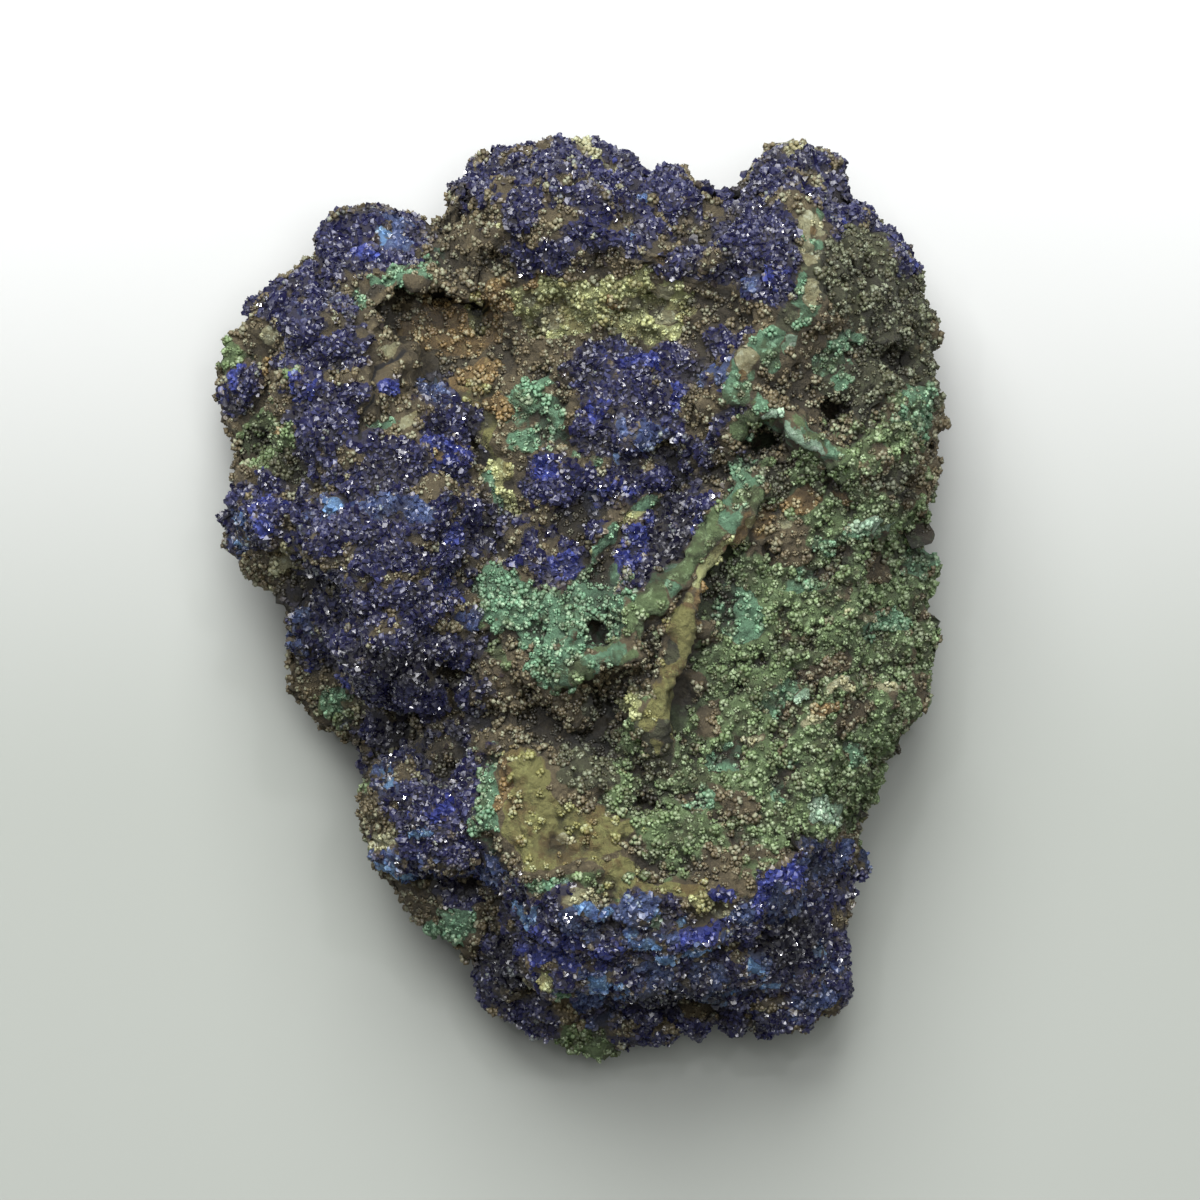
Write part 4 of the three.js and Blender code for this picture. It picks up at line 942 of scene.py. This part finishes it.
# Painted shade in the crack in the slab's top: a near-black line along its middle
split = mask(tree, "from_crack")
tree.links.new(mix(tree, band(tree, split, 0.26, 0.12), dark, shade(14, 12, 14)), shader.inputs["Base Color"])
place = own_place(tree)
grit = texture(tree, place, 2600.0, 8.0, 0.78)
knobs = put(tree, "ShaderNodeTexVoronoi", {"Vector": place, "Scale": 1800.0}).outputs["Distance"]
height = maths(tree, "SUBTRACT", grit, maths(tree, "MULTIPLY", knobs, 0.5))
bump = put(tree, "ShaderNodeBump", {"Height": height, "Strength": 1.0, "Distance": 0.0007})
tree.links.new(bump.outputs[0], shader.inputs["Normal"])
shader.inputs["Roughness"].default_value = 0.8
shader.inputs["Specular IOR Level"].default_value = 0.35
rock_mesh.materials.append(rock_finish)

rock_piece = add_object("rock", rock_mesh)
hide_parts("azurite_specimen")
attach(rock_piece, "root")


# The azurite druse
# Azurite coats the rock with beads of small crystals that grew outwards from many centres, side by side, with
# brown dust between them, so that single faces glint. It is set out in three stretches of the specimen.
BEAD_SPACING = 0.44
BEAD_SMALLEST = 0.55
BEAD_LARGEST = 1.05
FAR_SIDE = 99  # beyond the rock, where a stretch has no neighbour
DRUSE_STRETCHES = {
    "druse_top": (-FAR_SIDE, FAR_SIDE, 24, FAR_SIDE),
    "druse_slab": (-FAR_SIDE, -9.5, -FAR_SIDE, 24),
    "druse_middle": (-9.5, FAR_SIDE, -FAR_SIDE, 24),
}


def region(name, wanted, x_from, x_to, y_from, y_to):
    """Keeps where one stretch of a growth is, between sides that don't overlap its neighbours'."""
    inside = (x >= x_from) & (x < x_to) & (y >= y_from) & (y < y_to)
    store(name, wanted * inside)


def block(name, points, faces, part=None):
    """A small closed mesh that is copied many times, with each point's height and a chance for each part."""
    points = np.array(points, float)
    mesh = bpy.data.meshes.new(name)
    mesh.from_pydata(points.tolist(), [], [list(face) for face in faces])
    mesh.update()
    tip = (points[:, 2] - points[:, 2].min()) / np.ptp(points[:, 2])
    part = np.zeros(len(points), int) if part is None else part
    chance = np.random.default_rng(len(name)).uniform(0, 1, part.max() + 1)[part]
    for attribute, values in (("tip", tip), ("part_chance", chance)):
        mesh.attributes.new(attribute, "FLOAT", "POINT").data.foreach_set("value", values.astype(np.float32))
    return bpy.data.objects.new(name, mesh)


def bead(name, seed, steps):
    """A ball of flat faces, uneven as the crystal ends that it is made of."""
    points, faces = geodesic_ball(steps)
    reach = 0.5 * (1 + 0.2 * np.random.default_rng(seed).uniform(-1, 1, (len(points), 1)))
    return block(name, points * reach * (1, 1, 0.9) - (0, 0, 0.08), faces.tolist())


def rosette(name, seed, count, thickness=1.0):
    """A bunch of wedge-ended crystals, or a single one, that point outwards from one centre."""
    chance = np.random.default_rng(seed)
    points, faces, part = [], [], []
    for n in range(count):
        tilt = math.radians(18 if n == 0 else chance.uniform(45, 75))
        turn = math.tau * n / max(count - 1, 1) + chance.uniform(-0.3, 0.3)
        out = np.array((math.sin(tilt) * math.cos(turn), math.sin(tilt) * math.sin(turn), math.cos(tilt)))
        side = np.cross(out, chance.uniform(-1, 1, 3))
        side /= np.linalg.norm(side)
        other = np.cross(out, side)
        half, thin, length, ridge = chance.uniform((0.2, 0.12, 0.42, 0.1), (0.28, 0.2, 0.6, 0.18))
        half, thin, ridge = half * thickness, thin * thickness, ridge * thickness
        foot_corners = ((-1, -1), (1, -1), (1, 1), (-1, 1))
        foot = [-out * 0.1 + side * half * a + other * thin * b for a, b in foot_corners]
        top = [out * length + side * ridge * a for a in (-1, 1)]
        first = len(points)
        points += foot + top
        wedge = ((3, 2, 1, 0), (0, 1, 5, 4), (1, 2, 5), (2, 3, 4, 5), (3, 0, 4))
        faces += [[first + k for k in face] for face in wedge]
        part += [n] * 6
    return block(name, points, faces, np.array(part))


bead_shapes = bpy.data.collections.new("azurite beads")
for shape in (
    bead("bead", 1, 1), rosette("rosette", 3, 3),
    rosette("wedge", 5, 1, 1.7), rosette("blunt wedge", 8, 1, 1.9),
):
    bead_shapes.objects.link(shape)


def growth_tree(name, smooth_faces):
    """Nodes that set small shapes on a surface, each turned and sized its own way."""
    tree = bpy.data.node_groups.new(name, "GeometryNodeTree")
    sockets = [
        ("Surface", "NodeSocketGeometry"), ("Shapes", "NodeSocketCollection"), ("Where", "NodeSocketString"),
        ("Spacing", "NodeSocketFloat"), ("Smallest", "NodeSocketFloat"), ("Largest", "NodeSocketFloat"),
        ("Lean", "NodeSocketFloat"), ("Seed", "NodeSocketInt"), ("Finish", "NodeSocketMaterial"),
    ]
    for socket, kind in sockets:
        tree.interface.new_socket(socket, in_out="INPUT", socket_type=kind)
    tree.interface.new_socket("Growth", in_out="OUTPUT", socket_type="NodeSocketGeometry")
    given = put(tree, "NodeGroupInput").outputs
    named = put(tree, "GeometryNodeInputNamedAttribute", {"Name": given["Where"]}, data_type="FLOAT")
    points = put(tree, "GeometryNodeDistributePointsOnFaces", {
        "Mesh": given["Surface"], "Distance Min": given["Spacing"], "Density Max": 4e8,
        "Density Factor": named.outputs[0], "Seed": given["Seed"],
    }, distribute_method="POISSON")
    shapes = put(tree, "GeometryNodeCollectionInfo", {
        "Collection": given["Shapes"], "Separate Children": True, "Reset Children": True,
    })
    backwards = maths(tree, "MULTIPLY", given["Lean"], -1.0)
    most = put(tree, "ShaderNodeCombineXYZ", {0: given["Lean"], 1: given["Lean"], 2: math.pi}).outputs[0]
    least = put(tree, "ShaderNodeCombineXYZ", {0: backwards, 1: backwards, 2: -math.pi}).outputs[0]
    turn = put(tree, "FunctionNodeRandomValue", {
        0: least, 1: most, "Seed": given["Seed"],
    }, data_type="FLOAT_VECTOR").outputs[0]
    euler = put(tree, "FunctionNodeEulerToRotation", {0: turn}).outputs[0]
    turned = put(tree, "FunctionNodeRotateRotation", {
        0: points.outputs["Rotation"], 1: euler,
    }, rotation_space="LOCAL").outputs[0]
    chance = put(tree, "FunctionNodeRandomValue", {"Seed": given["Seed"]}, data_type="FLOAT").outputs[1]
    spread = maths(tree, "SUBTRACT", given["Largest"], given["Smallest"])
    size = maths(tree, "MULTIPLY_ADD", maths(tree, "POWER", chance, 2.0), spread, given["Smallest"])
    placed = put(tree, "GeometryNodeInstanceOnPoints", {
        "Points": points.outputs["Points"], "Instance": shapes.outputs[0], "Pick Instance": True,
        "Rotation": turned, "Scale": size,
    })
    tint_seed = maths(tree, "ADD", given["Seed"], 7.0)
    tint = put(tree, "FunctionNodeRandomValue", {"Seed": tint_seed}, data_type="FLOAT").outputs[1]
    tinted = put(tree, "GeometryNodeStoreNamedAttribute", {
        "Geometry": placed.outputs[0], "Name": "tint", "Value": tint,
    }, data_type="FLOAT", domain="INSTANCE")
    real = put(tree, "GeometryNodeRealizeInstances", {0: tinted.outputs[0]})
    shaded = put(tree, "GeometryNodeSetShadeSmooth", {
        "Geometry": real.outputs[0], "Shade Smooth": smooth_faces,
    })
    finished = put(tree, "GeometryNodeSetMaterial", {
        "Geometry": shaded.outputs[0], "Material": given["Finish"],
    })
    put(tree, "NodeGroupOutput", {0: finished.outputs[0]})
    return tree


def grow(name, tree, **inputs):
    """Runs a tree of nodes on the rock's surface, and keeps what it makes as a plain mesh."""
    carrier = add_object(name + " carrier", rock_mesh)
    modifier = carrier.modifiers.new("growth", "NODES")
    modifier.node_group = tree
    for socket in tree.interface.items_tree:
        if socket.in_out == "INPUT" and socket.name in inputs:
            modifier[socket.identifier] = inputs[socket.name]
    view = bpy.context.evaluated_depsgraph_get()
    mesh = bpy.data.meshes.new_from_object(carrier.evaluated_get(view))
    bpy.data.objects.remove(carrier)
    mesh.name = name
    piece = add_object(name, mesh)
    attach(piece, "root")


# Flat crystal faces of a given fineness, as directions that change from one small cell to the next
facets = bpy.data.node_groups.new("crystal faces", "ShaderNodeTree")
facets.interface.new_socket("Fineness", in_out="INPUT", socket_type="NodeSocketFloat")
facets.interface.new_socket("Amount", in_out="INPUT", socket_type="NodeSocketFloat")
facets.interface.new_socket("Normal", in_out="OUTPUT", socket_type="NodeSocketVector")
facets.interface.new_socket("Chance", in_out="OUTPUT", socket_type="NodeSocketFloat")
given = put(facets, "NodeGroupInput").outputs
place = own_place(facets)
cells = put(facets, "ShaderNodeTexVoronoi", {"Vector": place, "Scale": given["Fineness"]}).outputs["Color"]
centred = put(facets, "ShaderNodeVectorMath", {0: cells, 1: (0.5, 0.5, 0.5)}, operation="SUBTRACT").outputs[0]
tilted = put(
    facets, "ShaderNodeVectorMath", {0: centred, "Scale": given["Amount"]}, operation="SCALE"
).outputs[0]
outwards = put(facets, "ShaderNodeNewGeometry").outputs["Normal"]
both = put(facets, "ShaderNodeVectorMath", {0: outwards, 1: tilted}, operation="ADD").outputs[0]
direction = put(facets, "ShaderNodeVectorMath", {0: both}, operation="NORMALIZE").outputs[0]
chance = put(facets, "ShaderNodeSeparateXYZ", {0: cells}).outputs[0]
put(facets, "NodeGroupOutput", {"Normal": direction, "Chance": chance})

crystal_finish, tree, shader = new_finish("azurite crystals")
mineral = put(tree, "ShaderNodeGroup", node_tree=colours)
face = put(tree, "ShaderNodeGroup", node_tree=facets)
face.inputs["Fineness"].default_value = 3600.0
face.inputs["Amount"].default_value = 0.45
tint = mask(tree, "tint")
tip = mask(tree, "tip")
standing = mask(tree, "stands_out")
place = own_place(tree)
patchy = texture(tree, place, 900.0, 3.0)
darker = toward(tree, band(tree, tint, 0.7, 0.1), 0.6, mineral.outputs["Colour"], shade(22, 20, 42))
varied = toward(tree, face.outputs["Chance"], 0.35, darker, shade(26, 25, 50))
dust_line = maths(tree, "MULTIPLY_ADD", tip, 0.5, maths(tree, "MULTIPLY_ADD", patchy, -1.3, 0.9))
dust_line = maths(tree, "MULTIPLY_ADD", standing, 0.4, dust_line)
dusty = toward(tree, band(tree, dust_line, 0.5, 0.1), 0.7, varied, shade(47, 42, 42))
# Painted shade: crystals in the hollows and pockets are darkened to near-black blue
depth = mask(tree, "deep")
dark = toward(tree, depth, 0.85, dusty, shade(12, 10, 26))
tree.links.new(dark, shader.inputs["Base Color"])
gloss = maths(tree, "MULTIPLY_ADD", band(tree, dust_line, 0.6, 0.2), 0.5, 0.12)
roughness_of_faces = maths(tree, "MULTIPLY_ADD", band(tree, tint, 0.25, 0.5), 0.36, gloss)
tree.links.new(roughness_of_faces, shader.inputs["Roughness"])
tree.links.new(face.outputs["Normal"], shader.inputs["Normal"])
shader.inputs["IOR"].default_value = 1.5

wanted = np.clip(share["navy"] + 0.9 * share["cobalt"] + 0.55 * share["slate"] + 0.35 * share["pale"], 0, 1)
wanted *= smooth(-1.6, -0.6, stands_out) * (1 - cracked) * over_table
for stretch, sides in DRUSE_STRETCHES.items():
    region(stretch, wanted, *sides)
beads_tree = growth_tree("set beads", False)
for seed, stretch in enumerate(DRUSE_STRETCHES):
    grow(
        "azurite_" + stretch, beads_tree, Shapes=bead_shapes, Where=stretch, Spacing=BEAD_SPACING * MM,
        Smallest=BEAD_SMALLEST * MM, Largest=BEAD_LARGEST * MM, Lean=0.5, Seed=seed + 3,
        Finish=crystal_finish,
    )


# The malachite and earth clumps
# Malachite stands on the right-hand plate and the hump as clumps of tiny rounded grains, like popcorn. The
# brown and yellow earths of iron are crumbly in the same way, so they are clumps too, in their own colours.
CLUMP_SPACING = 0.97
CLUMP_SMALLEST = 0.8
CLUMP_LARGEST = 1.7
CLUMP_STRETCHES = {
    "clumps_plate": (5, FAR_SIDE, -FAR_SIDE, 10),
    "clumps_top": (5, FAR_SIDE, 10, FAR_SIDE),
    "clumps_left": (-FAR_SIDE, 5, 12, FAR_SIDE),
    "clumps_middle": (-FAR_SIDE, 5, -FAR_SIDE, 12),
}


def clump(name, seed, count):
    """Small uneven grains of eight faces each, around and over a middle."""
    chance = np.random.default_rng(seed)
    corners = np.array([(1, 0, 0), (-1, 0, 0), (0, 1, 0), (0, -1, 0), (0, 0, 1), (0, 0, -1)], float)
    sides = [(0, 2, 4), (2, 1, 4), (1, 3, 4), (3, 0, 4), (2, 0, 5), (1, 2, 5), (3, 1, 5), (0, 3, 5)]
    points, faces, part = [], [], []
    for n in range(count):
        tilt = math.radians(chance.uniform(0, 25) if n == 0 else chance.uniform(40, 88))
        turn = math.tau * n / (count - 1) + chance.uniform(-0.4, 0.4)
        out = np.array((math.sin(tilt) * math.cos(turn), math.sin(tilt) * math.sin(turn), math.cos(tilt)))
        spin = np.linalg.qr(chance.normal(size=(3, 3)))[0]
        spin *= np.sign(np.linalg.det(spin))
        grain = corners * chance.uniform(0.17, 0.27, (6, 1)) @ spin + out * chance.uniform(0.22, 0.36)
        faces += [[len(points) + k for k in side] for side in sides]
        points += grain.tolist()
        part += [n] * 6
    return block(name, points, faces, np.array(part))


clump_shapes = bpy.data.collections.new("clumps")
for shape in (clump("clump", 1, 9), clump("second clump", 2, 8), clump("loose clump", 3, 7)):
    clump_shapes.objects.link(shape)

clump_finish, tree, shader = new_finish("malachite and earth")
mineral = put(tree, "ShaderNodeGroup", node_tree=colours)
tip = mask(tree, "tip")
part_chance = mask(tree, "part_chance")
tint = mask(tree, "tint")
standing = mask(tree, "stands_out")
mixed_chance = maths(tree, "FRACT", maths(tree, "ADD", tint, part_chance))
dull = toward(tree, band(tree, mixed_chance, 0.4, 0.1), 0.5, mineral.outputs["Colour"], shade(62, 56, 34))
light_tint = mix(tree, 0.35, mineral.outputs["Colour"], shade(206, 218, 186))
bright = toward(tree, band(tree, mixed_chance, 0.6, 1.0), 0.8, dull, light_tint)
# Painted shade: the feet of the grains and clumps in low places are darkened towards dark brown, less on the
# olive and the rust
low_place = maths(tree, "MULTIPLY_ADD", standing, 0.4, tip)
clean = mask(tree, "clean")
most_grain_foot_shade = maths(tree, "MULTIPLY_ADD", clean, -0.6, 0.9)
grain_foot_shaded = toward(tree, band(tree, low_place, 0.55, 0.05), most_grain_foot_shade, bright, shade(38, 34, 19))
# Painted shade in the hollows and pockets
depth = mask(tree, "deep")
dark = toward(tree, depth, 0.4, grain_foot_shaded, shade(28, 25, 15))
tree.links.new(dark, shader.inputs["Base Color"])
shader.inputs["Roughness"].default_value = 0.6
shader.inputs["Specular IOR Level"].default_value = 0.35
place = own_place(tree)
powder = texture(tree, place, 4000.0, 2.0)
bump = put(tree, "ShaderNodeBump", {"Height": powder, "Strength": 0.6, "Distance": 0.0001})
tree.links.new(bump.outputs[0], shader.inputs["Normal"])

wanted = np.clip(
    share["green"] + share["olive"] + 0.9 * share["teal"] + 0.8 * share["brown"] + 0.9 * share["moss"]
    + 0.6 * share["cream"] + 0.5 * share["ochre"] + 0.9 * share["rust"] + 0.6 * share["white"]
    + 0.1 * share["slate"], 0, 1
)
wanted *= smooth(-3.0, -1.6, stands_out) * (1 - bare) * over_table
wanted *= smooth(-10, -4, z - from_net(net_rim, x, y))
for stretch, sides in CLUMP_STRETCHES.items():
    region(stretch, wanted, *sides)
clumps_tree = growth_tree("set clumps", True)
for seed, stretch in enumerate(CLUMP_STRETCHES):
    grow(
        "malachite_" + stretch, clumps_tree, Shapes=clump_shapes, Where=stretch, Spacing=CLUMP_SPACING * MM,
        Smallest=CLUMP_SMALLEST * MM, Largest=CLUMP_LARGEST * MM, Lean=0.5, Seed=seed + 11,
        Finish=clump_finish,
    )

for shapes in (bead_shapes, clump_shapes):
    for shape in list(shapes.objects):
        bpy.data.objects.remove(shape)
    bpy.data.collections.remove(shapes)


# The table, the lights and the camera
# A pale table with painted shade that darkens it towards the bottom of the picture, one big soft light from
# the upper side of the picture, one over the face, two small ones that only glint on crystal faces, and a
# camera that looks straight down on the face.
FLOOR_HALF = 0.9
floor_mesh = bpy.data.meshes.new("table")
floor_corners = [(a * FLOOR_HALF, b * FLOOR_HALF, 0) for a, b in ((-1, -1), (1, -1), (1, 1), (-1, 1))]
floor_mesh.from_pydata(floor_corners, [], [(0, 1, 2, 3)])
floor = add_object("table", floor_mesh)
floor_finish, tree, shader = new_finish("pale table")
place = own_place(tree)
upwards = put(tree, "ShaderNodeSeparateXYZ", {0: place}).outputs[1]
# Painted shade: the table is darker towards the bottom of the picture, as if the light fell off there
painted_falloff = mix(tree, band(tree, upwards, -0.025, 0.06), shade(154, 158, 152), shade(198, 199, 199))
tree.links.new(painted_falloff, shader.inputs["Base Color"])
shader.inputs["Roughness"].default_value = 0.9
floor_mesh.materials.append(floor_finish)


def lamp(name, at, aim, size, power):
    """A round soft light at a place, turned towards another."""
    light = bpy.data.lights.new(name, "AREA")
    light.shape = "DISK"
    light.size = size
    light.energy = power
    holder = add_object(name, light)
    holder.location = at
    towards = np.array(aim) - np.array(at)
    holder.rotation_euler = Vector(towards).to_track_quat("-Z", "Y").to_euler()
    return holder


lamp("window", (-0.10, 0.50, 0.58), (0, 0, 0.02), 0.6, 10.0)
lamp("overhead", (0.10, 0.10, 0.80), (0, 0, 0.02), 0.45, 3.0)
for number, at in enumerate(((0.15, 0.22, 0.62), (-0.18, 0.12, 0.66))):
    sparkle = lamp("sparkle_" + str(number), at, (0, 0, 0.02), 0.025, 6.5)
    sparkle.visible_diffuse = False

world = bpy.data.worlds.new("studio")
bpy.context.scene.world = world
world.use_nodes = True
world.node_tree.nodes["Background"].inputs[0].default_value = (1, 1, 1, 1)
world.node_tree.nodes["Background"].inputs[1].default_value = 0.2
bpy.context.scene.view_settings.view_transform = "Standard"

LENS = 300
SENSOR = 36
VIEW_WIDTH = 120  # how much of the outline's height plane the picture takes in
VIEW_MIDDLE = (2.0, -0.1)
eye = bpy.data.cameras.new("camera")
eye.lens = LENS
eye.sensor_width = SENSOR
eye.clip_end = 10
camera = add_object("camera", eye)
camera.location = (VIEW_MIDDLE[0] * MM, VIEW_MIDDLE[1] * MM, (RIM_HEIGHT + VIEW_WIDTH * LENS / SENSOR) * MM)
bpy.context.scene.camera = camera
